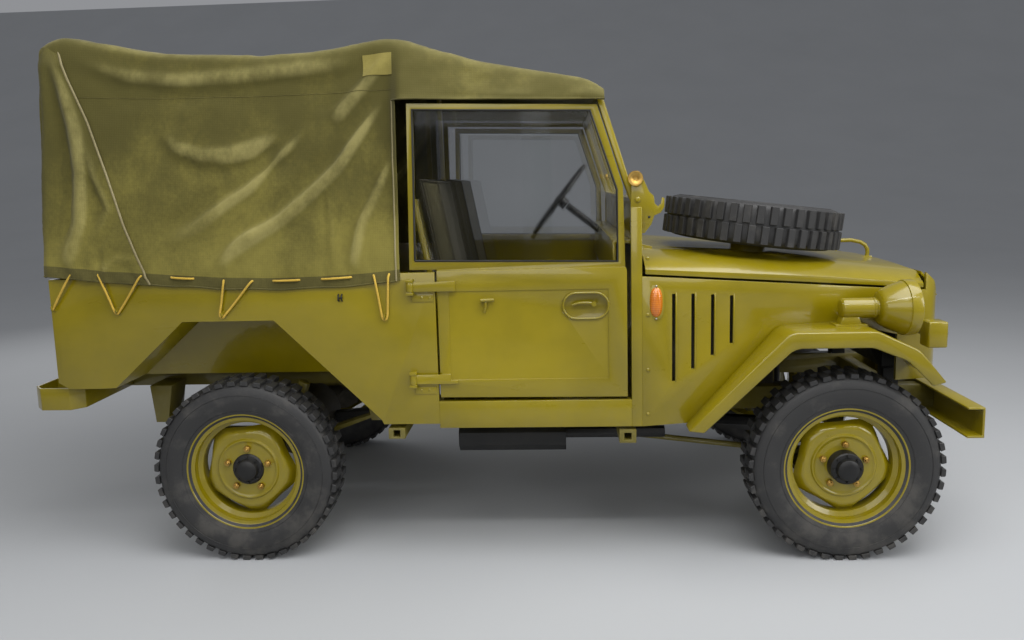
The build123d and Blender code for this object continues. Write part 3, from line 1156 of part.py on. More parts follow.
# Canvas top: side curtains behind the doors, roof with short side flaps over them
HEM_Z = 1040
HEM_HALF = BODY_HALF + CANVAS + 1
KNEE_Z = TUB_TOP + 6  # the curtains stand upright to here
FLAP_HALF = BODY_HALF - 11
ROOF_HALF = BODY_HALF - 95
FLAP_REAR_Z = 1686
FLAP_FRONT_Z = 1668
BOW_X = REAR_AXLE + 612
ROOF_FRONT = REAR_AXLE + 1356
# Roof: station, half width at the shoulder, shoulder height, crown height
ROOF_REAR = (
    (REAR_AXLE - 680, ROOF_HALF, 1920, 1945),
    (REAR_AXLE - 630, ROOF_HALF, 1950, 1985),
    (REAR_AXLE - 250, ROOF_HALF, 1865, 1905),
    (REAR_AXLE + 100, ROOF_HALF, 1845, 1885),
    (BOW_X, ROOF_HALF, 1890, 1930),
)
ROOF_FORE = (
    (BOW_X, ROOF_HALF, 1890, 1930),
    (REAR_AXLE + 900, ROOF_HALF + 10, 1800, 1845),
    (REAR_AXLE + 1320, ROOF_HALF + 40, 1722, 1762),
    (ROOF_FRONT, ROOF_HALF + 50, 1696, 1712),
)


def roof_section(x, half, shoulder_z, crown_z, hem_half, hem_z, knee_z, inset):
    """Corners across the canvas at one station: upright to the knee, leaning to the shoulder, arched on top."""
    outline = [
        *arch(half - inset, shoulder_z - inset, crown_z - inset), (hem_half - inset, knee_z),
        (hem_half - inset, hem_z), (-hem_half + inset, hem_z), (-hem_half + inset, knee_z),
    ]
    return [(x, y, z) for y, z in outline]


def flap_z(x):
    """Lower edge of the roof's side flaps at a station."""
    return FLAP_REAR_Z + (FLAP_FRONT_Z - FLAP_REAR_Z) * (x - BOW_X) / (ROOF_FRONT - BOW_X)


with BuildPart() as canvas_top:
    add(skin([roof_section(*row, HEM_HALF, HEM_Z, KNEE_Z, 0) for row in ROOF_REAR]))
    add(skin([roof_section(*row, FLAP_HALF, flap_z(row[0]), flap_z(row[0]) + 6, 0) for row in ROOF_FORE]))
    # Inside, open below and from load space to cab
    inner = [(row[0] + (CANVAS if i == 0 else 0), *row[1:]) for i, row in enumerate(ROOF_REAR)]
    add(skin([roof_section(*row, HEM_HALF, HEM_Z - 1, KNEE_Z, CANVAS) for row in inner]), mode=Mode.SUBTRACT)
    inner = [(row[0] - (CANVAS if i == 3 else 0), *row[1:]) for i, row in enumerate(ROOF_FORE)]
    add(
        skin(
            [roof_section(*row, FLAP_HALF, flap_z(row[0]) - 1, flap_z(row[0]) + 6, CANVAS) for row in inner]
        ),
        mode=Mode.SUBTRACT,
    )
    # The rear curtain ends above the tailgate
    with BuildSketch(Plane.YZ.offset(REAR_AXLE - 700)):
        with Locations((0, HEM_Z - 1)):
            Rectangle(2 * BODY_HALF, TUB_TOP + PANEL_GAP - HEM_Z + 1, align=(Align.CENTER, Align.MIN))
    extrude(amount=60, mode=Mode.SUBTRACT)
finish(canvas_top, "canvas_top")

# Bows under the canvas, standing on the tub's sides
BOW_TUBE = 22
BOW_STATIONS = (REAR_AXLE - 640, REAR_AXLE + 60, BOW_X - 30)
BOW_ROOM = 14  # between bows and the canvas's outer face


def roof_at(x):
    """Shoulder and crown height of the canvas at a station behind the main bow."""
    for (x_a, _, side_a, top_a), (x_b, _, side_b, top_b) in zip(ROOF_REAR, ROOF_REAR[1:]):
        if x_a <= x <= x_b:
            share = (x - x_a) / (x_b - x_a)
            return side_a + share * (side_b - side_a), top_a + share * (top_b - top_a)


with BuildPart() as canvas_bows:
    for station in BOW_STATIONS:
        rear_z, rear_crown = roof_at(station)
        fore_z, fore_crown = roof_at(station + BOW_TUBE)
        shoulder_z = min(rear_z, fore_z) - BOW_ROOM
        crown_z = min(rear_crown, fore_crown) - BOW_ROOM
        with BuildSketch(Plane.YZ.offset(station)):
            for inset, mode in ((0, Mode.ADD), (BOW_TUBE, Mode.SUBTRACT)):
                foot = BODY_HALF - BOW_ROOM - inset
                half = ROOF_HALF - BOW_ROOM - inset
                with BuildLine():
                    Polyline(
                        *arch(half, shoulder_z - inset, crown_z - inset), (foot, TUB_TOP), (-foot, TUB_TOP),
                        close=True,
                    )
                make_face(mode=mode)
        extrude(amount=BOW_TUBE)
finish(canvas_bows, "canvas_bows")

# Front seats: boxes on the floor, cushions and leaning backs
SEAT_Y = 385
SEAT_HALF = 200
SEAT_REAR = REAR_AXLE + 770
SEAT_FRONT = REAR_AXLE + 1190
SEAT_BASE = 780
CUSHION = 90
BACK_TOP = (REAR_AXLE + 655, 1400)
BACK_THICK = 65
FRAME_TUBE = 20
with BuildPart() as seat_frames:
    with BuildSketch(Plane.XY.offset(FLOOR_Z)):
        with Locations((SEAT_REAR + 20, SEAT_Y)):
            Rectangle(SEAT_FRONT - SEAT_REAR - 60, 2 * SEAT_HALF - 60, align=(Align.MIN, Align.CENTER))
    extrude(amount=SEAT_BASE - FLOOR_Z)
    for side in (SEAT_Y - SEAT_HALF, SEAT_Y + SEAT_HALF - FRAME_TUBE):
        with BuildSketch(Plane.XZ.offset(-side)):
            with BuildLine():
                Polyline(
                    (SEAT_REAR - 30, SEAT_BASE), (SEAT_REAR + 60, SEAT_BASE - FRAME_TUBE),
                    (SEAT_REAR + 60, SEAT_BASE), (SEAT_REAR - 30 + FRAME_TUBE, SEAT_BASE + 10),
                    (BACK_TOP[0] + 10, BACK_TOP[1] - 60), (BACK_TOP[0] - 10, BACK_TOP[1] - 60), close=True,
                )
            make_face()
        extrude(amount=-FRAME_TUBE)
    with BuildSketch(Plane.XY.offset(SEAT_BASE - FRAME_TUBE)):
        with Locations((SEAT_REAR + 20, SEAT_Y)):
            Rectangle(FRAME_TUBE * 2, 2 * SEAT_HALF, align=(Align.MIN, Align.CENTER))
    extrude(amount=FRAME_TUBE)
    mirror(about=Plane.XZ)
finish(seat_frames, "seat_frames")

with BuildPart() as seat_cushions:
    with BuildSketch(Plane.XY.offset(SEAT_BASE)):
        with Locations((SEAT_REAR + 60, SEAT_Y)):
            Rectangle(SEAT_FRONT - SEAT_REAR - 60, 2 * SEAT_HALF, align=(Align.MIN, Align.CENTER))
    extrude(amount=CUSHION)
    with BuildSketch(Plane.XZ.offset(-SEAT_Y - SEAT_HALF + FRAME_TUBE)):
        with BuildLine():
            Polyline(
                (SEAT_REAR + 4, SEAT_BASE + CUSHION + 20), (SEAT_REAR + 4 + BACK_THICK, SEAT_BASE + CUSHION + 10),
                (BACK_TOP[0] + 22 + BACK_THICK, BACK_TOP[1]), (BACK_TOP[0] + 22, BACK_TOP[1] + 10), close=True,
            )
        make_face()
    extrude(amount=2 * SEAT_HALF - 2 * FRAME_TUBE)
    mirror(about=Plane.XZ)
finish(seat_cushions, "seat_cushions")

BENCH_THICK = 60
with BuildPart() as bench_cushions:
    with BuildSketch(Plane.XY.offset(ARCH_TOP + DECK_THICK)):
        with Locations((ARCH[1][0] - 2, WHEELBOX_IN)):
            Rectangle(ARCH[2][0] - ARCH[1][0] + 4, BODY_HALF - TUB_WALL - WHEELBOX_IN - RUN_GAP, align=Align.MIN)
    extrude(amount=BENCH_THICK)
    mirror(about=Plane.XZ)
finish(bench_cushions, "bench_cushions")

# Headlamps on the wings: shell turned about its own axis
LAMP_Y = NOSE_HALF + 120
LAMP_Z = 916
LAMP_FRONT = FRONT_AXLE + 239
LAMP_RADIUS = 99
LAMP_SIDES = 14
# Lamp shell, along its axis from its front edge: kind, then reach and radius at both ends of each band
LAMP_BANDS = (
    (Mode.ADD, -255, 26, -243, 36),
    (Mode.ADD, -243, 36, -119, 36),
    (Mode.ADD, -119, 60, -78, 84),
    (Mode.ADD, -78, 84, -36, LAMP_RADIUS - 4),
    (Mode.ADD, -36, LAMP_RADIUS - 4, 0, LAMP_RADIUS),
    (Mode.SUBTRACT, -14, LAMP_RADIUS - 12, 0, LAMP_RADIUS - 12),
)
with BuildPart() as lamp_shell:
    for mode, *ends in LAMP_BANDS:
        add(band(*ends, LAMP_SIDES), mode=mode)
with BuildPart(Plane(origin=(LAMP_FRONT, LAMP_Y, LAMP_Z), x_dir=(0, 1, 0), z_dir=(1, 0, 0))) as headlamps:
    add(lamp_shell.part)
    # Foot on the wing's crown
    with BuildSketch(Plane.XZ.offset(-LAMP_Y - 28)):
        with BuildLine():
            Polyline(
                (FRONT_AXLE - 30, WING[2][1]), (FRONT_AXLE + 66, WING[2][1]), (FRONT_AXLE + 60, LAMP_Z - 20),
                (FRONT_AXLE + 10, LAMP_Z - 20), close=True,
            )
        make_face()
    extrude(amount=56)
    mirror(about=Plane.XZ)
finish(headlamps, "headlamps")
with BuildPart() as headlamp_lenses:
    with BuildSketch(Plane.YZ.offset(LAMP_FRONT - 14)):
        with Locations((LAMP_Y, LAMP_Z), (-LAMP_Y, LAMP_Z)):
            RegularPolygon(LAMP_RADIUS - 13, LAMP_SIDES)
    extrude(amount=12)
finish(headlamp_lenses, "headlamp_lenses")

# Marker lamps at the nose, repeaters on the engine bay's sides, rear lamps on the tub
MARKER_X = FRONT_AXLE + 284
with BuildPart() as marker_lamps:
    with BuildSketch(Plane.XZ.offset(-LAMP_Y + 36)):
        with Locations((MARKER_X, 773)):
            Rectangle(68, 94, align=Align.MIN)
    extrude(amount=-72)
    with BuildSketch(Plane.XZ.offset(-LAMP_Y + 36)):
        with Locations((MARKER_X + 20, 800)):
            Rectangle(16, 40, align=Align.MIN)
    extrude(amount=LAMP_Y - 36 - bay_half(MARKER_X + 20))
    mirror(about=Plane.XZ)
finish(marker_lamps, "marker_lamps")
REPEATER = (REAR_AXLE + 1522, 963)
with BuildPart() as side_repeaters:
    with BuildSketch(Plane.XZ.offset(-bay_half(REPEATER[0]) - 18)) as repeater_face:
        with Locations(REPEATER):
            Rectangle(52, 120)
        chamfer(repeater_face.vertices(), 16, 26)
    extrude(amount=12)
    mirror(about=Plane.XZ)
finish(side_repeaters, "side_repeaters")
with BuildPart() as rear_lamps:
    with BuildSketch(Plane.YZ.offset(TUB_REAR)):
        with Locations((640, 860), (-640, 860)):
            RegularPolygon(38, 12)
    extrude(amount=-36)
finish(rear_lamps, "rear_lamps")

# Bumpers: a channel in front, bent straps at the rear corners
BUMPER_HALF = 705
BUMPER_DEEP = 60
BUMPER_SHEET = 8
with BuildPart() as front_bumper:
    with BuildSketch(Plane.XZ.offset(-BUMPER_HALF)):
        with Locations((BUMPER_FACE, BUMPER_Z)):
            Rectangle(BUMPER_DEEP, BUMPER_HIGH, align=(Align.MAX, Align.CENTER))
        with Locations((BUMPER_FACE - BUMPER_SHEET, BUMPER_Z)):
            Rectangle(
                BUMPER_DEEP, BUMPER_HIGH - 2 * BUMPER_SHEET, align=(Align.MAX, Align.CENTER), mode=Mode.SUBTRACT
            )
    extrude(amount=2 * BUMPER_HALF)
finish(front_bumper, "front_bumper")

STRAP_LOW = 590
STRAP_SHEET = 8
STRAP_TALL = 84
TAIL = REAR_AXLE - REAR_OVERHANG
with BuildPart() as rear_bumperettes:
    with BuildSketch(Plane.XY.offset(STRAP_LOW)) as strap_plan:
        with Locations((TAIL, 715)):
            Rectangle(190, 200, align=(Align.MIN, Align.MAX))
        chamfer(strap_plan.vertices(), 40)
        offset(amount=-STRAP_SHEET, mode=Mode.SUBTRACT)
        with Locations((RAIL_TAIL, RAIL_OUT)):
            Rectangle(30, 600 - RAIL_OUT, align=Align.MIN)
    extrude(amount=STRAP_TALL)
    mirror(about=Plane.XZ)
finish(rear_bumperettes, "rear_bumperettes")
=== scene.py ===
# %% [markdown]
# # A light army 4x4 car with a canvas top
# The real car is a pressed steel tub on a ladder frame, painted in one thick coat of yellowish olive, with a
# canvas tilt laced over bows behind the doors. The solids come in as a fixed frame; this notebook gives every
# one of them its finish and replaces those whose forms are softer or finer than plain solids.

# %% Load the frame
import json
import math
import bmesh
import bpy
import numpy as np
from mathutils import Matrix, Vector, noise

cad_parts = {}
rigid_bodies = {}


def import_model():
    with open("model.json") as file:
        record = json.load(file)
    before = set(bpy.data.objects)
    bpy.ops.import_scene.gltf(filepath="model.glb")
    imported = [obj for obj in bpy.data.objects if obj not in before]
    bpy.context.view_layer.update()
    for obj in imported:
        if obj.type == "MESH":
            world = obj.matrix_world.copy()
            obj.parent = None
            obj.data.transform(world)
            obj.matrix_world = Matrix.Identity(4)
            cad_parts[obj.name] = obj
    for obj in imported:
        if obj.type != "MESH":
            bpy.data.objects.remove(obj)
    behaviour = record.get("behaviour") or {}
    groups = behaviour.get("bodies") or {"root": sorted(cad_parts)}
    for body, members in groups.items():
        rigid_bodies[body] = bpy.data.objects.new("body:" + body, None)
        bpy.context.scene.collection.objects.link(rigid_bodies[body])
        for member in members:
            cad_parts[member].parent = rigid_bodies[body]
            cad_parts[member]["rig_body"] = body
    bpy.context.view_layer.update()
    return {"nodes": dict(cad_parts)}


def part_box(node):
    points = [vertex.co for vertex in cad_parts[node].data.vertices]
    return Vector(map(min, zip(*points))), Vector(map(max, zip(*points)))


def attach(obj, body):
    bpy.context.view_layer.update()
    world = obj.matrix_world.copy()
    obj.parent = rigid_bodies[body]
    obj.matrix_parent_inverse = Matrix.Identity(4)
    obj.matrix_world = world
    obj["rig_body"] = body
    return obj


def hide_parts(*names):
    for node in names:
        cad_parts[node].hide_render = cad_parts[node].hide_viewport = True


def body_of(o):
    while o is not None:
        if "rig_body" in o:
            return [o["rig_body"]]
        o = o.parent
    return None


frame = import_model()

REAR_AXLE, FRONT_AXLE = -0.94, 1.26
BODY_HALF = 0.735

# %% [markdown]
# The camera stands where the photographer stood: 3.5 m off the car's right side, a little ahead of the middle
# and at eye height, turned and pitched by small angles. The angles were found by matching wheels, sills and
# roof to a 2.2 m wheelbase, so here they are only numbers.

# %% Camera
CAMERA_PLACE = Vector((0.2343, -3.5577, 1.3995))
CAMERA_YAW, CAMERA_PITCH, CAMERA_ROLL = 0.0560, 0.1357, -0.0257
CAMERA_LENS = 28.4
CAMERA_SHIFT = -0.0284


def linked(name, data):
    """A new object in the scene."""
    piece = bpy.data.objects.new(name, data)
    bpy.context.scene.collection.objects.link(piece)
    return piece


def camera_axes():
    """Rows: right, down and forward of the camera in the car's frame."""
    start = Matrix(((1, 0, 0), (0, 0, -1), (0, 1, 0)))
    yaw = Matrix.Rotation(CAMERA_YAW, 3, "Y")
    pitch = Matrix.Rotation(CAMERA_PITCH, 3, "X")
    roll = Matrix.Rotation(CAMERA_ROLL, 3, "Z")
    return roll @ pitch @ yaw @ start


optics = bpy.data.cameras.new("camera")
optics.lens, optics.sensor_width, optics.shift_y = CAMERA_LENS, 36, CAMERA_SHIFT
camera = linked("camera", optics)
right, down, forward = camera_axes()
turn = Matrix((right, -down, -forward)).transposed().to_4x4()
camera.matrix_world = Matrix.Translation(CAMERA_PLACE) @ turn
bpy.context.scene.camera = camera
bpy.context.scene.view_settings.view_transform = "Standard"
print("camera looks along", [round(v, 3) for v in forward])

# %% [markdown]
# A painted car shows its shape through what it reflects. The studio is therefore one broad softbox overhead, a
# second one behind the camera, a narrow strip that draws a thin line along every crease, and an even, faint
# glow. The floor is plain and pale and turns up into a backdrop far behind, so that there is no horizon line
# close to the roof. Every cell below starts from a few small moves: a new object, one selected piece, edit mode
# and an applied modifier.

# %% Studio
def rest():
    """Object mode with nothing selected."""
    if bpy.context.object and bpy.context.object.mode != "OBJECT":
        bpy.ops.object.mode_set(mode="OBJECT")
    bpy.ops.object.select_all(action="DESELECT")


def focus(piece):
    """Only this piece selected and active."""
    rest()
    piece.select_set(True)
    bpy.context.view_layer.objects.active = piece


def edit(piece):
    """Edit mode on this piece, with all of it selected."""
    focus(piece)
    bpy.ops.object.mode_set(mode="EDIT")
    bpy.ops.mesh.select_all(action="SELECT")


def modified(piece, kind, **settings):
    """One modifier with its settings, applied."""
    focus(piece)
    modifier = piece.modifiers.new(kind.lower(), kind)
    for name, value in settings.items():
        setattr(modifier, name, value)
    bpy.ops.object.modifier_apply(modifier=modifier.name)


def smoothed(piece, angle):
    """Smooth shading across edges blunter than the angle, in degrees."""
    focus(piece)
    bpy.ops.object.shade_smooth_by_angle(angle=math.radians(angle))


def softbox(name, place, target, size, power):
    """One rectangular area light that looks at a target."""
    lamp = bpy.data.lights.new(name, "AREA")
    lamp.shape, lamp.size, lamp.size_y, lamp.energy = "RECTANGLE", *size, power
    look = Vector(target) - Vector(place)
    turn = look.to_track_quat("-Z", "Y").to_matrix().to_4x4()
    linked(name, lamp).matrix_world = Matrix.Translation(place) @ turn


softbox("overhead", (1.4, -1.6, 4.6), (0, 0, 0.8), (5, 3), 200)
softbox("behind_camera", (-1.5, -6.5, 3.2), (0, 0, 0.8), (6, 2.5), 98)
softbox("ahead", (5.0, -3.2, 2.8), (0.0, -0.4, 1.0), (2.5, 2.5), 108)
softbox("rear_side", (-4.5, 3.5, 3.2), (-0.4, 0, 1.0), (4, 3), 50)
softbox("strip", (0.3, -3.0, 3.6), (0.2, -0.5, 0.9), (6, 0.10), 42)

world = bpy.data.worlds.new("studio_air")
world.use_nodes = True
glow = world.node_tree.nodes["Background"].inputs
glow["Color"].default_value, glow["Strength"].default_value = (0.93, 0.95, 1.0, 1), 0.30
bpy.context.scene.world = world

rest()
bpy.ops.mesh.primitive_grid_add(x_subdivisions=2, y_subdivisions=40, size=60, location=(0, 0, 0))
floor = bpy.context.object
floor.name = "studio_floor"
RISE_FROM, RISE = 9.0, 0.02
for vertex in floor.data.vertices:
    vertex.co.z = RISE * max(0.0, vertex.co.y - RISE_FROM) ** 2
bpy.ops.object.shade_smooth()

# %% [markdown]
# Every finish below is a small sum: noise at one scale, plus noise at another, through a threshold, into a
# colour. Writing such sums with Blender's node calls hides them, so a socket gets the ordinary operators here
# and the rest of the nodes come through one method.

# %% Shader arithmetic
def join(tree, slot, value):
    """A link where the value is a socket, and a plain setting where it is a number or a colour."""
    if isinstance(value, Value):
        tree.links.new(value.socket, slot)
    else:
        slot.default_value = value


def operator(operation, swapped=False):
    """The method for one sign of arithmetic; swapped is for a plain number on the left."""
    def method(self, other):
        node = self.tree.nodes.new("ShaderNodeMath")
        node.operation = operation
        for slot, value in zip(node.inputs, (other, self) if swapped else (self, other)):
            join(self.tree, slot, value)
        return Value(self.tree, node.outputs[0])
    return method


class Value:
    """An output socket that adds, subtracts and multiplies."""

    def __init__(self, tree, socket):
        self.tree, self.socket = tree, socket

    __add__, __radd__ = operator("ADD"), operator("ADD", True)
    __sub__, __rsub__ = operator("SUBTRACT"), operator("SUBTRACT", True)
    __mul__, __rmul__ = operator("MULTIPLY"), operator("MULTIPLY", True)


class Finish:
    """A material on one Principled shader."""

    def __init__(self, name, **settings):
        self.material = bpy.data.materials.new(name)
        self.material.use_nodes = True
        self.tree = self.material.node_tree
        self.shader = self.tree.nodes["Principled BSDF"]
        self.set(**settings)
        self.place = self.node("TexCoord", out="Object")

    def set(self, **settings):
        """Sockets of the shader by name, with _ for a space."""
        for name, value in settings.items():
            join(self.tree, self.shader.inputs[name.replace("_", " ")], value)

    def node(self, kind, settings=None, sockets=None, out=0):
        """Any node: its settings first, then its sockets by name or number."""
        made = self.tree.nodes.new("ShaderNode" + kind)
        for name, value in (settings or {}).items():
            setattr(made, name, value)
        for name, value in (sockets or {}).items():
            join(self.tree, made.inputs[name], value)
        return Value(self.tree, made.outputs[out])

    def noise(self, scale, detail=3.0, roughness=0.55, stretch=(1, 1, 1)):
        """Cloudy noise in the car's own space; scale is patches a metre."""
        stretched = self.node("Mapping", None, {"Vector": self.place, "Scale": stretch})
        sockets = {"Vector": stretched, "Scale": scale, "Detail": detail, "Roughness": roughness}
        return self.node("TexNoise", None, sockets)

    def bands(self, scale, direction):
        """Waves across one axis."""
        settings = {"wave_type": "BANDS", "bands_direction": direction}
        return self.node("TexWave", settings, {"Vector": self.place, "Scale": scale})

    def step(self, value, low, high):
        """0 below low, 1 above high and smooth between."""
        sockets = {"Value": value, "From Min": low, "From Max": high}
        return self.node("MapRange", {"interpolation_type": "SMOOTHSTEP"}, sockets)

    def mix(self, factor, first, second):
        """From the first colour to the second."""
        return self.node("Mix", {"data_type": "RGBA"}, {0: factor, 6: first, 7: second}, out=2)

    def bump(self, height, distance, strength):
        """The shader's normal from a height; the distance is in metres."""
        self.set(Normal=self.node("Bump", None, {"Height": height, "Distance": distance, "Strength": strength}))

    def height_above_floor(self):
        """The point's Z."""
        return self.node("SeparateXYZ", None, {"Vector": self.place}, out="Z")

    def facing_up(self):
        """How far the surface faces upwards."""
        normal = self.node("NewGeometry", out="Normal")
        return self.node("SeparateXYZ", None, {"Vector": normal}, out="Z")


def colour(red, green, blue):
    """A colour for a socket, from linear values."""
    return (red, green, blue, 1.0)


print("shader helper ready")

# %% [markdown]
# The car wears one colour from hub to bonnet: a thick, glossy coat of olive that leans to yellow. Where it was
# brushed it runs a shade darker or lighter in soft patches, the coat has a fine orange peel, and road dust dulls
# whatever faces up near the ground. All three change slowly over the surface, so noise in the car's own space
# is enough and no picture is needed.

# %% Paint finishes
def painted(name, light, dark, gloss=0.24, dust=0.35):
    """Thick olive paint with soft patches, orange peel and dust low down."""
    finish = Finish(name, Coat_Roughness=0.05, Specular_IOR_Level=0.4)
    patches = finish.step(finish.noise(2.2, 4, 0.6), 0.32, 0.68)
    brushed = finish.noise(9, 5, 0.6, stretch=(0.4, 1, 1.6))
    coat = finish.mix(patches * 0.65 + brushed * 0.35, dark, light)
    low = finish.step(0.85 - finish.height_above_floor(), -0.1, 0.65)
    settled = finish.step(finish.facing_up(), 0.5, 1.0) * 0.35
    grime = finish.step(finish.noise(14, 6, 0.65), 0.42, 0.72)
    dusty = (low * 0.6 + settled) * grime * dust
    finish.set(Base_Color=finish.mix(dusty, coat, colour(0.20, 0.175, 0.075)))
    finish.set(Roughness=gloss + dusty * 0.5 + brushed * 0.10, Coat_Weight=0.55 - dusty * 0.4)
    peel = finish.noise(320, 2, 0.5)
    sag = finish.noise(26, 2, 0.5)
    finish.bump(peel * 0.25 + sag, 0.0011, 0.35)
    return finish.material


OLIVE = painted("olive_paint", colour(0.262, 0.203, 0.0012), colour(0.180, 0.141, 0.0010))
OLIVE_FRAME = painted("olive_frame_paint", colour(0.15, 0.12, 0.006), colour(0.085, 0.07, 0.004), 0.5, 0.9)


def rough_metal(name, light, dark, metallic, roughness, grain=60):
    """Cast, oiled or blackened metal with stains and a pitted skin."""
    finish = Finish(name, Metallic=metallic)
    stains = finish.step(finish.noise(7, 5, 0.65), 0.35, 0.7)
    pits = finish.noise(grain, 4, 0.6)
    finish.set(Base_Color=finish.mix(stains * 0.7 + pits * 0.3, dark, light))
    finish.set(Roughness=roughness + stains * 0.15 + pits * 0.1)
    finish.bump(pits, 0.0012, 0.5)
    return finish.material


BLACK_METAL = rough_metal("black_metal", colour(0.022, 0.021, 0.019), colour(0.008, 0.008, 0.008), 0.3, 0.38)
CAST_METAL = rough_metal("cast_metal", colour(0.13, 0.115, 0.085), colour(0.04, 0.036, 0.028), 0.6, 0.5)
BRASS = rough_metal("brass", colour(0.62, 0.40, 0.11), colour(0.36, 0.21, 0.05), 1.0, 0.28, 200)
BRIGHT_METAL = rough_metal("bright_metal", colour(0.62, 0.62, 0.6), colour(0.4, 0.4, 0.38), 1.0, 0.2, 200)


def moulded(name, light, dark, roughness, grain, depth):
    """Rubber or plastic: nearly one tone, with a fine skin and dust in it."""
    finish = Finish(name, Specular_IOR_Level=0.4)
    cloudy = finish.noise(12, 5, 0.65)
    fine = finish.noise(grain, 3, 0.6)
    low = finish.step(0.5 - finish.height_above_floor(), -0.1, 0.5)
    dust = finish.step(cloudy + low * 0.12, 0.5, 0.78)
    finish.set(Base_Color=finish.mix(dust * 0.8 + fine * 0.2, dark, light), Roughness=roughness + dust * 0.2)
    finish.bump(fine, depth, 0.4)
    return finish.material


RUBBER = moulded("tyre", colour(0.066, 0.062, 0.056), colour(0.021, 0.021, 0.0215), 0.55, 220, 0.0008)
SEAL = moulded("black_rubber", colour(0.03, 0.03, 0.03), colour(0.010, 0.010, 0.010), 0.42, 400, 0.0004)
PLASTIC = moulded("black_plastic", colour(0.03, 0.03, 0.03), colour(0.012, 0.012, 0.012), 0.3, 500, 0.0003)


def lens(name, light, dark, roughness=0.12):
    """Pressed coloured glass with its ribs a few millimetres apart."""
    finish = Finish(name, Coat_Weight=0.8, Coat_Roughness=0.05, Transmission_Weight=0.35, IOR=1.46)
    ribs = finish.bands(42.0, "Z")
    cloudy = finish.noise(40, 3)
    finish.set(Base_Color=finish.mix(cloudy * 0.5 + ribs * 0.5, dark, light), Roughness=roughness + cloudy * 0.08)
    finish.bump(ribs, 0.0008, 0.6)
    return finish.material


AMBER = lens("amber_lens", colour(0.95, 0.30, 0.015), colour(0.72, 0.17, 0.008))
RED = lens("red_lens", colour(0.5, 0.012, 0.008), colour(0.28, 0.006, 0.004))

pane = Finish("glass", IOR=1.45, Transmission_Weight=1.0, Base_Color=colour(0.93, 0.96, 0.95))
film = pane.step(pane.noise(5, 6, 0.7), 0.45, 0.8)
pane.set(Roughness=film * 0.10 + 0.01, Alpha=0.22 + film * 0.12)
GLASS = pane.material
lamp_pane = Finish("lamp_glass", IOR=1.5, Transmission_Weight=0.9, Base_Color=colour(0.92, 0.94, 0.93))
fluting = lamp_pane.bands(28.0, "Y")
lamp_pane.set(Roughness=lamp_pane.noise(30) * 0.06 + 0.02)
lamp_pane.bump(fluting, 0.0009, 0.6)
LAMP_GLASS = lamp_pane.material
print("finishes:", [m.name for m in bpy.data.materials])

# %% [markdown]
# The canvas is a heavy olive-brown duck. Close up it is a plain weave; from a few steps away the eye sees its
# weathering instead: damp patches that stayed dark and dust on the roof. On top of that, a painted highlight
# lightens the crests of the folds, and a painted shade darkens the cloth towards the roof and pales it towards the
# hem.

# %% Canvas and cloth finishes
def woven(name, light, dark, dusty, thread=0.0016, hang=0.0):
    """Plain weave with stained patches, painted highlights on the fold crests and dust; hang is the strength of a
    painted shade that darkens the cloth towards the roof and pales it towards the hem.
    """
    finish = Finish(name, Roughness=0.85, Sheen_Weight=0.08, Sheen_Roughness=0.5, Specular_IOR_Level=0.2)
    per_metre = 0.5 / (thread * 2 * math.pi)
    weave = finish.bands(per_metre, "X") * finish.bands(per_metre, "Z")
    large = finish.noise(1.7, 5, 0.62)
    stains = finish.step(finish.noise(4.5, 6, 0.66, stretch=(1, 1, 0.6)), 0.38, 0.66)
    fine = finish.noise(70, 4, 0.7)
    # painted shade and light by height alone: darker up towards the roof and paler down towards the hem, scaled by
    # hang
    painted_shade_by_height = finish.step(finish.height_above_floor(), 1.02, 1.64)
    tone = large * 0.45 + stains * 0.16 + fine * 0.25 + (0.50 - painted_shade_by_height) * hang
    cloth = finish.mix(finish.step(tone, 0.18, 0.72), dark, light)
    # painted highlight: the crests of the folds are mixed towards the pale colour, by the fold height kept in the
    # crest attribute
    crest_highlight = finish.step(finish.node("Attribute", {"attribute_name": "crest"}, out="Fac"), 0.15, 0.85)
    cloth = finish.mix(crest_highlight * (stains * 0.35 + 0.06 + fine * 0.15), cloth, dusty)
    dust = finish.step(finish.facing_up(), 0.25, 0.95) * (0.12 + stains * 0.25)
    finish.set(Base_Color=finish.mix(dust, cloth, dusty))
    finish.bump(weave * 0.4 + fine * 0.6, 0.0011, 0.6)
    return finish.material


# hang=0.38 sets the painted shade from roof to hem on the canvas
CANVAS = woven("canvas", colour(0.190, 0.163, 0.034), colour(0.070, 0.061, 0.013), colour(0.34, 0.30, 0.115),
               hang=0.38)
BINDING = woven("canvas_binding", colour(0.125, 0.107, 0.028), colour(0.062, 0.054, 0.014), colour(0.13, 0.11, 0.04))
PIPING = woven("canvas_piping", colour(0.30, 0.26, 0.14), colour(0.19, 0.16, 0.08), colour(0.32, 0.28, 0.16))
SEAT_CLOTH = woven("seat_cloth", colour(0.085, 0.075, 0.035), colour(0.04, 0.036, 0.018), colour(0.11, 0.1, 0.06))
PATCH = woven("canvas_patch", colour(0.27, 0.23, 0.06), colour(0.19, 0.16, 0.04), colour(0.33, 0.28, 0.10))
ROPE = woven("rope_hemp", colour(0.62, 0.42, 0.07), colour(0.42, 0.27, 0.035), colour(0.6, 0.42, 0.10), 0.003)
SEAT_PIPING = woven("seat_piping", colour(0.05, 0.045, 0.025), colour(0.03, 0.026, 0.014), colour(0.07, 0.06, 0.04))
print("cloth finishes:", CANVAS.name, SEAT_CLOTH.name)

# %% [markdown]
# The frame's solids have the right shapes but knife-sharp edges, and pressed steel has none. A dressed panel is
# a copy of its solid whose loose triangles are merged back into faces, with every sharp edge rolled over by a
# couple of millimetres, so that each edge catches a line of light.

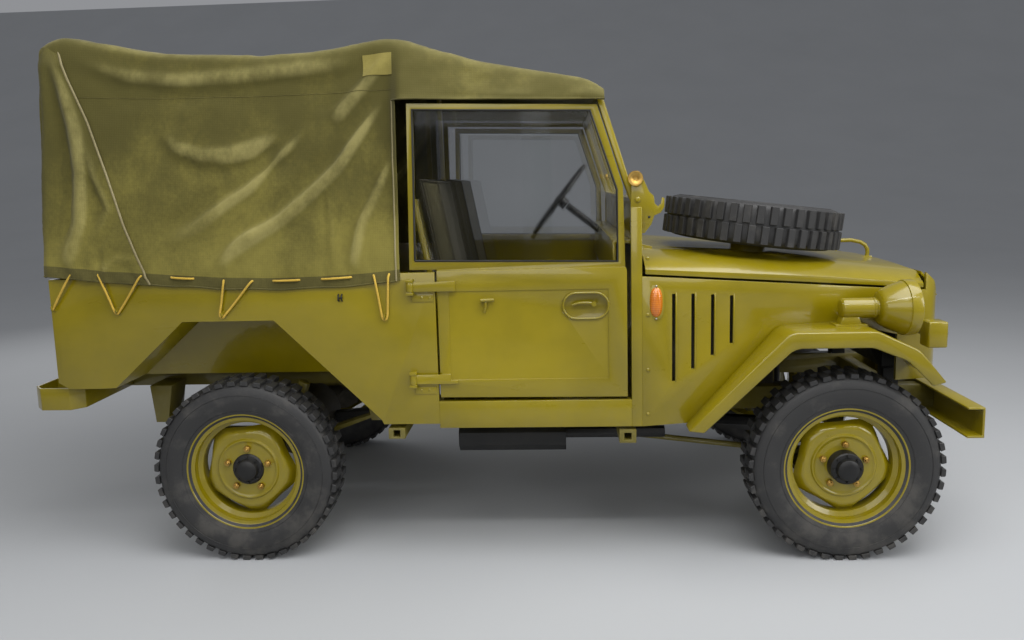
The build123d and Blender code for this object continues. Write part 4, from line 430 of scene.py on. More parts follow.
# %% Dressing the solids
SLOT_FINISH = {
    "olive_paint": OLIVE, "canvas": CANVAS, "tyre": RUBBER, "glass": GLASS, "black_metal": BLACK_METAL,
    "cast_metal": CAST_METAL, "seat_cloth": SEAT_CLOTH, "black_plastic": PLASTIC, "amber_lens": AMBER,
    "red_lens": RED,
}
for name, solid in frame["nodes"].items():
    for place in solid.material_slots:
        known = [finish for slot, finish in SLOT_FINISH.items() if place.material and slot in place.material.name]
        place.material = known[0] if known else OLIVE
BODY_OF = {name: body_of(solid)[0] for name, solid in frame["nodes"].items()}


def cover(piece, finish):
    """One finish over a whole piece."""
    piece.data.materials.clear()
    piece.data.materials.append(finish)


def carry(piece, node, stands_for=True):
    """Gives a piece the body of a node, which it also stands for unless told otherwise."""
    if stands_for:
        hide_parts(node)
    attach(piece, BODY_OF[node])
    return piece


def bevelled(piece, width, segments=2, angle=35):
    """Rolls over every edge sharper than the angle, and smooths the rest."""
    modified(piece, "BEVEL", width=width, segments=segments, limit_method="ANGLE", angle_limit=math.radians(angle))
    smoothed(piece, angle)


def merged(name, node):
    """A copy of a solid with its triangles merged back into faces."""
    piece = linked(name, frame["nodes"][node].data.copy())
    edit(piece)
    bpy.ops.mesh.remove_doubles(threshold=0.00002)
    bpy.ops.mesh.dissolve_limited(angle_limit=math.radians(0.6))
    bpy.ops.object.mode_set(mode="OBJECT")
    return piece


def drop(piece):
    """Removes a pattern or a cutter after its use."""
    bpy.data.objects.remove(piece, do_unlink=True)


def dressed(node, width=0.002, finish=None, cutter=None):
    """A merged copy with rolled edges, which stands for its solid; a cutter is taken off first."""
    piece = merged("dressed_" + node, node)
    if cutter:
        modified(piece, "BOOLEAN", operation="DIFFERENCE", object=cutter)
        drop(cutter)
    bevelled(piece, width)
    cover(piece, finish or frame["nodes"][node].material_slots[0].material)
    return carry(piece, node)


def cuboid(middle, size):
    """A plain block to cut with or to shape further."""
    rest()
    bpy.ops.mesh.primitive_cube_add(size=1, location=middle)
    piece = bpy.context.object
    piece.scale = size
    bpy.ops.object.transform_apply(location=True, rotation=True, scale=True)
    return piece


for node, width in (
    ("rear_tub", 0.004), ("tailgate", 0.003), ("cab_floor", 0.003), ("scuttle", 0.004), ("side_panels", 0.0015),
    ("front_wings", 0.009), ("nose", 0.004), ("bonnet", 0.004), ("windshield_frame", 0.004),
    ("hinge_brackets", 0.002), ("front_bumper", 0.003), ("rear_bumperettes", 0.002), ("canvas_bows", 0.004),
    ("seat_frames", 0.004),
):
    dressed(node, width)
FIELD_MIDDLE, FIELD_SIZE, FIELD_OUT = (0.1325, 0.8545), (0.565, 0.020, 0.321), 0.0070
for node, side in (("door_left", 1), ("door_right", -1)):
    field = cuboid((FIELD_MIDDLE[0], side * (BODY_HALF + FIELD_OUT), FIELD_MIDDLE[1]), FIELD_SIZE)
    dressed(node, 0.0028, cutter=field)
for node in ("chassis_frame", "front_suspension", "rear_suspension", "knuckle_left", "knuckle_right"):
    dressed(node, finish=OLIVE_FRAME)
for node in (
    "track_rod", "drop_arm", "front_drive", "rear_axle", "transmission", "propeller_shafts", "exhaust",
    "engine_block", "radiator", "steering_column",
):
    dressed(node)

# %% [markdown]
# Round things come from one move: draw half of the outline once and turn it round the axle. The tyre's casing,
# the rim and the hub are all turned this way, about Y with the outside of the wheel towards -Y, and a finished
# wheel is then carried to its place.

# %% Turning a profile
def keep_mesh(name, points, edges=(), faces=()):
    """A new object from points, edges and faces, at the origin."""
    mesh = bpy.data.meshes.new(name)
    mesh.from_pydata([tuple(p) for p in points], list(edges), list(faces))
    return linked(name, mesh)


def turned(name, profile, steps, finish=OLIVE, closed=False):
    """A profile of (radius, out) turned about the Y axis."""
    ends = [(i, i + 1) for i in range(len(profile) - 1)] + ([(len(profile) - 1, 0)] if closed else [])
    piece = keep_mesh(name, [(radius, -out, 0) for radius, out in profile], ends)
    edit(piece)
    bpy.ops.mesh.spin(steps=steps, angle=2 * math.pi, center=(0, 0, 0), axis=(0, 1, 0))
    bpy.ops.mesh.select_all(action="SELECT")
    bpy.ops.mesh.remove_doubles(threshold=0.00005)
    bpy.ops.mesh.normals_make_consistent(inside=False)
    bpy.ops.object.mode_set(mode="OBJECT")
    smoothed(piece, 32)
    cover(piece, finish)
    return piece


def copies(piece, places):
    """Copies of a piece, each with its own mesh, at matrices; the pattern itself is kept."""
    made = []
    for place in places:
        twin = piece.copy()
        twin.data = piece.data.copy()
        twin.data.transform(place)
        bpy.context.scene.collection.objects.link(twin)
        made.append(twin)
    return made


def joined(name, parts):
    """Several objects as one piece."""
    rest()
    for part in parts:
        part.select_set(True)
    bpy.context.view_layer.objects.active = parts[0]
    bpy.ops.object.join()
    piece = bpy.context.object
    piece.name = piece.data.name = name
    return piece


def repeated(piece, places):
    """Copies of a pattern at matrices, with the pattern dropped."""
    made = copies(piece, places)
    drop(piece)
    return made


def at(x, y, z):
    """Move to a place."""
    return Matrix.Translation((x, y, z))


def facing(side):
    """The turn that faces a piece made towards -Y outwards on its side of the car, -1 right and 1 left."""
    return Matrix.Rotation(math.pi if side > 0 else 0.0, 4, "Z")


def round_about(count, start=0.0):
    """Turns evenly spread about the Y axis; start is a share of one of them."""
    return [Matrix.Rotation(2 * math.pi * (i + start) / count, 4, "Y") for i in range(count)]


def sided(side, points):
    """Points given as (along, out, up), on one side of the car."""
    return [(x, side * out, z) for x, out, z in points]


def face_on(piece, wanted):
    """In edit mode with only those faces selected that a test wants."""
    focus(piece)
    bpy.ops.object.mode_set(mode="EDIT")
    bpy.ops.mesh.select_all(action="DESELECT")
    mesh = bmesh.from_edit_mesh(piece.data)
    for face in mesh.faces:
        face.select = wanted(face)
    bmesh.update_edit_mesh(piece.data)


print("turning ready")

# %% [markdown]
# A cross-country tyre of the fifties: a round, plain side wall, and blocks that stand across each half of the
# tread and run down over the shoulder, the two halves half a block apart. The block is a cube whose outer face
# is drawn in and whose end is pulled down over the shoulder; forty-four copies make one half.

# %% One tyre
LUGS, LUG_TOP, LUG_TAPER = 44, 0.3465, 0.84
LUG_MIDDLE, LUG_SIZE = (0, -0.0375, 0.3385), (0.031, 0.067, 0.017)
RIBS = ((0.236, 0.0733), (0.296, 0.0797))  # radius and out of two fine rings on the side wall
CASING = (
    (0.205, 0.058), (0.214, 0.067), (0.228, 0.0715), (0.246, 0.077), (0.264, 0.0812), (0.284, 0.082),
    (0.302, 0.0795), (0.317, 0.0745), (0.327, 0.068), (0.3335, 0.056), (0.3350, 0.028), (0.3352, 0.0),
)
casing_outer = list(CASING) + [(radius, -out) for radius, out in CASING[-2::-1]]
casing_inner = [(0.300, -0.060), (0.318, -0.04), (0.322, 0.0), (0.318, 0.04), (0.300, 0.060)]


def tread_block():
    """One block at the top of the wheel, over the half of the tread towards -Y."""
    block = cuboid(LUG_MIDDLE, LUG_SIZE)
    face_on(block, lambda face: face.normal.y < -0.9)
    bpy.ops.mesh.extrude_region_move(TRANSFORM_OT_translate={"value": (0, -0.0085, -0.016)})
    bpy.ops.transform.resize(value=(0.86, 1, 1.15))
    bpy.ops.mesh.extrude_region_move(TRANSFORM_OT_translate={"value": (0, -0.0015, -0.019)})
    bpy.ops.transform.resize(value=(0.8, 1, 0.6))
    bpy.ops.object.mode_set(mode="OBJECT")
    for vertex in block.data.vertices:
        if vertex.co.z > LUG_TOP:
            vertex.co.x *= LUG_TAPER
    modified(block, "BEVEL", width=0.0016, segments=1)
    return block


def tyre(name):
    """Casing with both rows of blocks."""
    casing = turned(name, casing_outer + casing_inner, 88, closed=True)
    inner_half = [turn @ facing(1) for turn in round_about(LUGS, 0.5)]
    blocks = repeated(tread_block(), round_about(LUGS) + inner_half)
    rings = [turned("rib", [(r + 0.0012, out), (r, out + 0.0022), (r - 0.0012, out)], 88) for r, out in RIBS]
    piece = joined(name, [casing, *blocks, *rings])
    smoothed(piece, 30)
    cover(piece, RUBBER)
    return piece


tyre_pattern = tyre("tyre_pattern")
print("tyre faces:", len(tyre_pattern.data.polygons))

# %% [markdown]
# The rim is rolled strip: a curled lip, a seat for the bead and a deep well. The disc pressed into it swells
# outwards between nave and edge, and its edge is wavy, because five openings are left where it is not welded
# to the well. The disc is turned first; its edge ring is then drawn in towards the axle at five places, and the
# faces outside that ring are taken away there.

# %% Rim and disc
RIM = (
    (0.196, 0.058), (0.206, 0.0605), (0.214, 0.064), (0.218, 0.0695), (0.2225, 0.0700), (0.2255, 0.0665),
    (0.2235, 0.0625), (0.217, 0.0600), (0.2065, 0.0560), (0.2025, 0.0500), (0.2000, 0.0380), (0.1990, 0.0280),
    (0.1840, 0.0200), (0.1815, 0.0120), (0.1815, -0.012),
)
rim_skin = list(RIM) + [(0.2000, -0.038), (0.2065, -0.056), (0.2235, -0.0625), (0.2225, -0.070), (0.214, -0.064)]
rim_back = [(0.196, -0.055), (0.193, -0.036), (0.1775, -0.014), (0.1775, 0.013), (0.1790, 0.024), (0.1945, 0.034)]
OPENINGS, OPENING_HALF, FIRST_OPENING = 5, math.radians(27), math.radians(96)
DRAWN_FROM, DRAWN_OVER, DRAWN_TO, DRAWN_IN = 0.12, 0.056, 0.178, 0.020
NUTS, NUT_TURN, HUB_BOLTS = 5, 0.02, 8
DISC = (
    (0.0550, 0.0340), (0.0960, 0.0340), (0.1040, 0.0350), (0.1090, 0.0390), (0.1130, 0.0390), (0.1180, 0.0330),
    (0.1270, 0.0330), (0.1380, 0.0360), (0.1480, 0.0345), (0.1580, 0.0270), (0.1660, 0.0160), (0.1725, 0.0060),
    (0.1760, 0.0030), (0.1800, 0.0020),
)


def opening_share(angle):
    """1 in the middle of an opening, 0 at its ends and beyond."""
    step = 2 * math.pi / OPENINGS
    away = abs((angle - FIRST_OPENING + step / 2) % step - step / 2)
    return max(0.0, math.cos(away / OPENING_HALF * math.pi / 2)) if away < OPENING_HALF else 0.0


def wheel_disc():
    """Pressed disc with its wavy edge."""
    disc = turned("disc", DISC, 150)
    for vertex in disc.data.vertices:
        radius = math.hypot(vertex.co.x, vertex.co.z)
        share = opening_share(math.atan2(vertex.co.z, vertex.co.x))
        if share and DRAWN_FROM < radius < DRAWN_TO:
            drawn = radius - share * DRAWN_IN * ((radius - DRAWN_FROM) / DRAWN_OVER) ** 1.5
            vertex.co.x *= drawn / radius
            vertex.co.z *= drawn / radius

    def open_there(face):
        middle = face.calc_center_median()
        reach = max(math.hypot(v.co.x, v.co.z) for v in face.verts)
        return reach > DRAWN_TO + 0.0015 and opening_share(math.atan2(middle.z, middle.x)) > 0.05

    face_on(disc, open_there)
    bpy.ops.mesh.delete(type="FACE")
    bpy.ops.object.mode_set(mode="OBJECT")
    modified(disc, "SOLIDIFY", thickness=0.004, offset=-1)
    smoothed(disc, 38)
    return disc


def six_sided(radius, depth, out, up):
    """A short hexagonal head along Y."""
    rest()
    bpy.ops.mesh.primitive_cylinder_add(
        vertices=6, radius=radius, depth=depth, location=(0, -out, up), rotation=(math.pi / 2, 0, 0)
    )
    bpy.ops.object.transform_apply(location=True, rotation=True, scale=True)
    return bpy.context.object


def wheel_nut():
    """Six-sided brass nut on its stud, at the top of the bolt circle."""
    nut = six_sided(0.0125, 0.014, 0.041, 0.080)
    face_on(nut, lambda face: face.normal.y < -0.9)
    bpy.ops.mesh.inset(thickness=0.0050)
    bpy.ops.mesh.extrude_region_move(TRANSFORM_OT_translate={"value": (0, -0.006, 0)})
    bpy.ops.object.mode_set(mode="OBJECT")
    bevelled(nut, 0.0012, 1)
    cover(nut, BRASS)
    return nut


def hub(reach, bolts):
    """Black hub cap on its flange; reach is how far it stands outside the wheel's centre plane."""
    cap = turned("hub", [
        (0.0, reach), (0.020, reach - 0.0015), (0.031, reach - 0.004), (0.038, reach - 0.009),
        (0.041, reach - 0.018), (0.0425, reach - 0.024), (0.054, reach - 0.026), (0.058, reach - 0.030),
        (0.0595, 0.036), (0.0595, 0.020), (0.0, 0.020),
    ], 40, closed=True)
    bolt = six_sided(0.0052, 0.010, reach - 0.023, 0.0488)
    bevelled(bolt, 0.0008, 1)
    piece = joined("hub", [cap, *repeated(bolt, round_about(bolts))])
    cover(piece, BLACK_METAL)
    return piece


def wheel_rim(name, hub_reach):
    """Rim and disc and, on a wheel that stands on an axle, its nuts and the hub."""
    parts = [turned(name, rim_skin + rim_back, 96, closed=True), wheel_disc()]
    if hub_reach:
        parts += [*repeated(wheel_nut(), round_about(NUTS, NUT_TURN)), hub(hub_reach, HUB_BOLTS)]
    return joined(name, parts)


# %% Wheels in their places
TRACK_HALF, AXLE_Z = 0.650, 0.346685
SPARE_TILT = math.radians(7.1)
FRONT_HUB, REAR_HUB = 0.102, 0.068  # how far each hub reaches out of the wheel's centre plane
TYRE_TURN = 3
PLACES = {
    "front_right": (FRONT_AXLE, -1, FRONT_HUB), "front_left": (FRONT_AXLE, 1, FRONT_HUB),
    "rear_right": (REAR_AXLE, -1, REAR_HUB), "rear_left": (REAR_AXLE, 1, REAR_HUB),
}


def wheel_place(axle, side, phase):
    """Matrix from the pattern's place to an axle end."""
    return at(axle, side * TRACK_HALF, AXLE_Z) @ facing(side) @ Matrix.Rotation(math.radians(phase), 4, "Y")


def carried(piece, name, place):
    """A copy of a pattern at its place, with its own mesh."""
    twin = copies(piece, [place])[0]
    twin.name = name
    return twin


rims = {reach: wheel_rim(f"rim_pattern_{i}", reach) for i, reach in enumerate((FRONT_HUB, REAR_HUB, None))}
for where, (axle, side, reach) in PLACES.items():
    for kind, pattern, phase in (("tyre", tyre_pattern, TYRE_TURN), ("rim", rims[reach], 0)):
        piece = carried(pattern, f"{kind}_on_{where}", wheel_place(axle, side, phase))
        carry(piece, f"{kind}_{where}")
spare_axis = Vector((math.sin(SPARE_TILT), 0, math.cos(SPARE_TILT)))
spare_along = Vector((math.cos(SPARE_TILT), 0, -math.sin(SPARE_TILT)))
spare_place = Matrix((spare_along, -spare_axis, Vector((0, 1, 0)))).transposed().to_4x4()
spare_place.translation = (1.025, -0.225, 1.210)
for kind, pattern in (("tyre", tyre_pattern), ("rim", rims[None])):
    carry(carried(pattern, f"{kind}_spare", spare_place), f"spare_{kind}")
for pattern in (tyre_pattern, *rims.values()):
    drop(pattern)
print("wheels:", [o.name for o in bpy.data.objects if "_on_" in o.name or o.name.endswith("_spare")])

# %% [markdown]
# The tilt is one cloth from hem to hem. Its section at any station is a chain: up the side from the hem, round
# the shoulder, over the arch of the bow and down again. Stations come from a short table and are smoothed
# between, because cloth between two bows sags in a curve. Behind the main bow the chain starts at the hem; ahead
# of it the cloth ends in a short flap over the door.

# %% The tilt's plain form
ROOF = np.array((  # station, half width and height of the shoulder, height of the crown
    (-1.620, 0.640, 1.925, 1.945), (-1.572, 0.640, 1.966, 1.985), (-1.190, 0.640, 1.884, 1.910),
    (-0.840, 0.640, 1.866, 1.895), (-0.540, 0.640, 1.882, 1.906), (-0.328, 0.640, 1.914, 1.938),
    (-0.040, 0.650, 1.822, 1.848), (0.380, 0.680, 1.740, 1.764), (0.416, 0.690, 1.696, 1.712),
))
CLOTH_STEP = 0.013
SIDE_POINTS, SHOULDER_POINTS, TOP_POINTS = 50, 18, 50
EASED_ALONG, EASED_ROUND = 14, 9
BOW_AT, MIDDLE_BOW_AT, ROOF_END, ROOF_TAIL = -0.328, -0.870, 0.416, -1.620
SIDE_OUT, FLAP_OUT, KNEE = 0.7425, 0.7265, 1.090
SEAM_UP, SEAM_FALL = 1.690, 0.030  # height of the seam behind the bow, and how much it falls in a metre ahead of it
HEM = np.array((  # station and height of the lower edge, which sags between corner and bow
    (-1.620, 1.100), (-1.559, 1.095), (-1.383, 1.074), (-1.195, 1.059), (-0.973, 1.042), (-0.799, 1.036),
    (-0.625, 1.038), (-0.453, 1.046), (-0.349, 1.056), (-0.328, 1.060),
))


def hem_at(along):
    """Height of the hem at a station."""
    return np.interp(along, HEM[:, 0], HEM[:, 1])


def eased(values, times):
    """Neighbours averaged a few times along the first axis, with both ends kept."""
    for _ in range(times):
        values[1:-1] = (values[:-2] + 2 * values[1:-1] + values[2:]) / 4
    return values


def smooth_step(values, low, high):
    """0 below low, 1 above high."""
    share = np.clip((values - low) / (high - low), 0, 1)
    return share * share * (3 - 2 * share)


def evenly(points, count):
    """Points at equal steps along a line of points."""
    points = np.array(points)
    length = np.concatenate(([0], np.cumsum(np.hypot(*np.diff(points, axis=0).T))))
    at = np.linspace(0, length[-1], count)
    return np.stack([np.interp(at, length, points[:, i]) for i in (0, 1)], axis=1)


def section(x, half, shoulder, crown):
    """Half a section: points (out, up) from hem to crown."""
    flap = smooth_step(np.array(x), BOW_AT - 0.03, BOW_AT + 0.03)
    seam_z = SEAM_UP - SEAM_FALL * max(0.0, x - BOW_AT)
    seam_out = half + (SIDE_OUT - half) * (shoulder - seam_z) / (shoulder - KNEE)
    seam_out += flap * (FLAP_OUT - seam_out)
    hem = float(hem_at(x))
    lower = [(SIDE_OUT, hem), (SIDE_OUT, max(KNEE, hem + 0.01)), (seam_out, seam_z)]
    upper = [(seam_out, seam_z), (half, shoulder)]
    shares = np.linspace(1, 0, TOP_POINTS)
    top = [(share * half, shoulder + (1 - share * share) * (crown - shoulder)) for share in shares]
    chain = []
    for points, count in ((lower, SIDE_POINTS), (upper, SHOULDER_POINTS), (top, TOP_POINTS)):
        part = evenly(points, count)
        chain.append(part if not chain else part[1:])
    return np.concatenate(chain)


stations = np.arange(ROOF_TAIL, ROOF_END + 0.001, CLOTH_STEP)
rows = [np.interp(stations, ROOF[:, 0], ROOF[:, i]) for i in (1, 2, 3)]
for row in rows:
    eased(row, EASED_ALONG)
rows[1][0], rows[2][0] = ROOF[0, 2:]
half_chains = np.stack([section(x, *row) for x, row in zip(stations, np.stack(rows, axis=1))])
chains = np.concatenate((half_chains * (-1, 1), half_chains[:, -2::-1]), axis=1)
seams = [SIDE_POINTS - 1, chains.shape[1] - SIDE_POINTS]
behind = stations < BOW_AT
for i in range(len(stations)):
    seam_points = chains[i, seams]
    eased(chains[i], EASED_ROUND)
    if not behind[i]:
        chains[i, seams] = seam_points
print("stations:", len(stations), "points in a section:", chains.shape[1])

# %% [markdown]
# The folds are what makes it canvas. On this car they are few and long: pulled from the main bow's head down to
# the lacing, slack in the middle, and gathered where the rear flap is wrapped round the corner. Each is kept as
# the line its crest follows on the side, with a height and a width; the cloth is lifted along it and drawn in
# beside it, as happens when cloth is short of room across and long of room along.

# %% Folds
MAIN_FOLDS = (  # crest line (along, up), height, width
    (((-.337, 1.860), (-.441, 1.74), (-.500, 1.68), (-.560, 1.610)), .012, .026),
    (((-.360, 1.700), (-.449, 1.582), (-.537, 1.46), (-.634, 1.373), (-.742, 1.285), (-.868, 1.214), (-.948, 1.151),
      (-1.00, 1.088)), .017, .024),
    (((-.640, 1.600), (-.766, 1.484), (-.855, 1.396), (-.953, 1.335), (-1.052, 1.264), (-1.175, 1.200)), .013, .022),
    (((-.338, 1.500), (-.405, 1.358), (-.456, 1.26), (-.497, 1.080)), .012, .020),
    (((-1.170, 1.612), (-1.120, 1.545), (-1.030, 1.512), (-.930, 1.515), (-.846, 1.531), (-.700, 1.570)), .011, .032),
    (((-.820, 1.262), (-.905, 1.215), (-.948, 1.168)), .006, .014),
    (((-.570, 1.400), (-.560, 1.250), (-.552, 1.090)), .004, .014),
    (((-1.000, 1.47), (-.900, 1.49), (-.790, 1.505)), .005, .018),
    (((-1.526, 1.900), (-1.421, 1.849), (-1.287, 1.800), (-1.104, 1.781), (-.919, 1.788), (-.736, 1.805),
      (-.553, 1.821), (-.400, 1.850)), .009, .034),
)
WRAP_FOLDS = (
    (((-1.560, 1.880), (-1.523, 1.764), (-1.490, 1.629), (-1.469, 1.466), (-1.478, 1.283), (-1.545, 1.100)),
     .016, .026),
    (((-1.440, 1.560), (-1.418, 1.450), (-1.368, 1.336), (-1.404, 1.263), (-1.440, 1.200)), .008, .016),
    (((-1.270, 1.160), (-1.347, 1.150), (-1.420, 1.100)), .007, .014),
    (((-1.330, 1.270), (-1.390, 1.190), (-1.395, 1.090)), .006, .014),
)


def near(values, place, width):
    """A bell: 1 at a place, fading over a width."""
    return np.exp(-(((values - place) / width) ** 2))


def fold_height(along, up, folds):
    """How far the folds lift the cloth at places on the side."""
    lift = np.zeros_like(along)
    for line, height, width in folds:
        line = np.array(line)
        pieces = np.hypot(*np.diff(line, axis=0).T)
        start = np.concatenate(([0], np.cumsum(pieces)))
        nearest = np.full(along.shape, np.inf)
        side = np.zeros_like(along)
        travelled = np.zeros_like(along)
        for (a, b), long, before in zip(zip(line, line[1:]), pieces, start):
            t = np.clip(((along - a[0]) * (b - a)[0] + (up - a[1]) * (b - a)[1]) / long**2, 0, 1)
            dx, dz = along - a[0] - t * (b - a)[0], up - a[1] - t * (b - a)[1]
            away = np.hypot(dx, dz)
            closer = away < nearest
            nearest = np.where(closer, away, nearest)
            side = np.where(closer, np.sign((b - a)[0] * dz - (b - a)[1] * dx), side)
            travelled = np.where(closer, (before + t * long) / start[-1], travelled)
        fade = np.clip(np.sin(np.pi * np.clip(travelled, 0.02, 0.98)) * 1.6, 0, 1)
        wide = width * (0.75 + 0.5 * travelled)
        signed = nearest * side
        crest, trough = near(signed, 0, wide), near(signed, -1.7 * wide, 1.15 * wide)
        lift += 1.35 * height * fade * (crest - 0.6 * trough)
    return lift


def cloudy(points, scale, seed):
    """Smooth noise from -1 to 1 at every point."""
    shift = Vector((seed, 2.3 * seed, -seed))
    return np.array([noise.noise(Vector(p) * scale + shift) for p in points])


LACING = (-1.508, -1.418, -1.260, -1.147, -1.071, -0.955, -0.854, -0.775, -0.684, -0.598, -0.497, -0.411, -0.360)


def gathers(along, up):
    """Short creases that run up from each eyelet of the lacing."""
    lift = np.zeros_like(along)
    for i, place in enumerate(LACING):
        out, high = along - place, np.maximum(up - hem_at(place) - 0.015, 0.0)
        angle = np.arctan2(out, high + 0.02)
        reach = np.exp(-((out**2 + high**2) / 0.085**2))
        lift += 0.0028 * np.cos(angle * (5 + i % 3) + i) * reach
    return lift


print("folds:", len(MAIN_FOLDS) + len(WRAP_FOLDS))

# %% [markdown]
# The cloth itself: a grid, laid on those sections, lifted by the folds on both sides and loosened by a little
# noise. The far side gets the same folds shifted and weakened, since two sides never crease alike. Ahead of the
# bow the part under the door flap is cut away, and one solidify gives the cloth its thickness.

# %% The tilt
def grid(name, columns, rows):
    """A grid of points to be laid out, columns along the first axis."""
    rest()
    bpy.ops.mesh.primitive_grid_add(x_subdivisions=rows - 1, y_subdivisions=columns - 1, size=1)
    piece = bpy.context.object
    piece.name = name
    return piece


def lay(piece, points):
    """Puts the grid's points at places given as columns x rows x 3."""
    piece.data.vertices.foreach_set("co", np.ascontiguousarray(points, dtype=np.float32).ravel())
    piece.data.update()


across = chains.shape[1]
x_of = np.repeat(stations[:, None], across, axis=1)
y_of, z_of = chains[:, :, 0], chains[:, :, 1]
flat_points = np.stack((x_of, y_of, z_of), axis=2).reshape(-1, 3)
coarse = cloudy(flat_points, 3.2, 4.0).reshape(x_of.shape)
medium = cloudy(flat_points, 9.0, 11.0).reshape(x_of.shape)
small = cloudy(flat_points, 30.0, 5.0).reshape(x_of.shape)
top_share = smooth_step(z_of, 1.80, 1.90) * smooth_step(0.665 - np.abs(y_of), 0.0, 0.05)
side_share = 1 - top_share
far_side = y_of > 0
along = np.where(far_side, x_of + 0.05 + 0.03 * np.sin(z_of * 7), x_of)
lift = fold_height(along, z_of, MAIN_FOLDS) * np.where(far_side, 0.8, 1.0) + gathers(x_of, z_of)
lift *= np.where(x_of < BOW_AT + 0.01, 1.0, 0.0)
above_hem = z_of - hem_at(x_of)
hem_hold = smooth_step(above_hem, 0.0, 0.09)
loose = coarse * 0.0075 + medium * 0.0042 + small * 0.0016
outwards = np.maximum(side_share * (lift * (0.25 + 0.75 * hem_hold) + loose * hem_hold), -0.007)
tight = np.clip(near(x_of, BOW_AT, 0.05) + near(x_of, MIDDLE_BOW_AT, 0.04), 0, 1)
upwards = loose * 1.1 * (1 - 0.7 * tight) + 0.005 * near(x_of, MIDDLE_BOW_AT, 0.022)
upwards = top_share * (upwards + 0.004 * np.sin(y_of * 9 + x_of * 3) * near(x_of, 0.05, 0.3))
hem_wave = (0.002 * np.sin(x_of * 29.0 + 1.0)) * (1 - smooth_step(above_hem, 0.0, 0.05))
flap_edge = near(z_of, SEAM_UP, 0.02) * np.where(x_of > BOW_AT + 0.02, 1.0, 0.0)
outwards += flap_edge * (0.004 * np.sin(x_of * 21) + 0.002)
up_by = upwards + hem_wave + 0.1 * outwards
laid = np.stack((x_of, y_of + np.where(far_side, 1, -1) * outwards, z_of + up_by), axis=2)
tilt_points = laid


def keep_crest(piece, lift):
    """The height of the folds as an attribute, for the painted highlight on their crests."""
    crest = piece.data.attributes.new("crest", "FLOAT", "POINT")
    crest.data.foreach_set("value", np.clip(lift / 0.014, 0, 1).astype(np.float32).ravel())


tilt = grid("canvas_tilt", len(stations), across)
lay(tilt, laid)
keep_crest(tilt, side_share * lift * hem_hold)
steps = across - 1
unwanted = [
    bool(stations[i // steps] >= BOW_AT - 0.004) and not seams[0] <= i % steps < seams[1]
    for i in range(len(tilt.data.polygons))
]


def pick(piece, wanted):
    """Only the faces marked in a list are selected, in edit mode."""
    focus(piece)
    for kind in (piece.data.vertices, piece.data.edges, piece.data.polygons):
        kind.foreach_set("select", [False] * len(kind))
    piece.data.polygons.foreach_set("select", wanted)
    bpy.ops.object.mode_set(mode="EDIT")
    bpy.ops.mesh.select_mode(type="FACE")


def thickened(piece, thickness):
    """Cloth with two sides; it grows inwards, so its outside stays where it was laid."""
    modified(piece, "SOLIDIFY", thickness=thickness, offset=-1, use_even_offset=False)
    smoothed(piece, 60)


def hemmed(piece, low):
    """Canvas, with the binding on the faces marked as low."""
    cover(piece, CANVAS)
    piece.data.materials.append(BINDING)
    piece.data.polygons.foreach_set("material_index", [int(face) for face in low])


HEM_FACES, CLOTH = 3, 0.0025
hemmed(tilt, [min(i % steps, steps - 1 - i % steps) < HEM_FACES for i in range(len(tilt.data.polygons))])
pick(tilt, unwanted)
bpy.ops.mesh.delete(type="FACE")
bpy.ops.mesh.select_all(action="SELECT")
bpy.ops.mesh.flip_normals()
rest()
thickened(tilt, CLOTH)

# %% [markdown]
# The rear curtain hangs from the roof's edge, passes round both corners and is laced forward over the sides, so
# each end shows from the side as a tall triangle with a piped edge that leans forward to the hem. It is a grid
# again: every row is one height, and runs from the piped edge on one side round the back to the other.

# %% Rear curtain
PIPED = np.array((  # height and station of the piped edge
    (1.050, -1.218), (1.167, -1.269), (1.279, -1.316), (1.464, -1.375), (1.655, -1.441), (1.808, -1.509),
    (1.925, -1.552),
))
CORNER = 0.030
ROWS_UP, ROWS_ROUND = 66, 176
CURTAIN_LOW, CURTAIN_RISE, CURTAIN_HEM, CURTAIN_TOP = 1.075, 0.850, 1.094, 1.93


def side_out(up):
    """How far out the side of the tilt stands at a height, at the rear corner."""
    return np.interp(up, (KNEE, 1.860, 1.925), (SIDE_OUT, 0.655, 0.630)) + 0.0055


def curtain_row(share, count):
    """Points of one row; the share runs from the hem, 0, to the roof, 1."""
    up = CURTAIN_LOW + share * CURTAIN_RISE
    out, edge = side_out(up), np.interp(up, PIPED[:, 0], PIPED[:, 1])
    back = ROOF_TAIL - 0.004
    quarter = np.linspace(0, math.pi / 2, 7)
    bend = [(back + CORNER * (1 - math.cos(a)), out - CORNER * (1 - math.sin(a))) for a in quarter]
    half = [(edge, out), *bend[::-1], (back, 0.0)]
    x, y = evenly([(x, -y) for x, y in half] + half[-2::-1], count).T
    low = np.where(np.abs(y) < out - 0.012, CURTAIN_HEM, hem_at(np.maximum(x, ROOF_TAIL)) - 0.001)
    high = 1.916 + 0.024 * (1 - np.clip(np.abs(y) / 0.64, 0, 1) ** 2)
    return np.stack((x, y, low + share * (high - low)), axis=1)


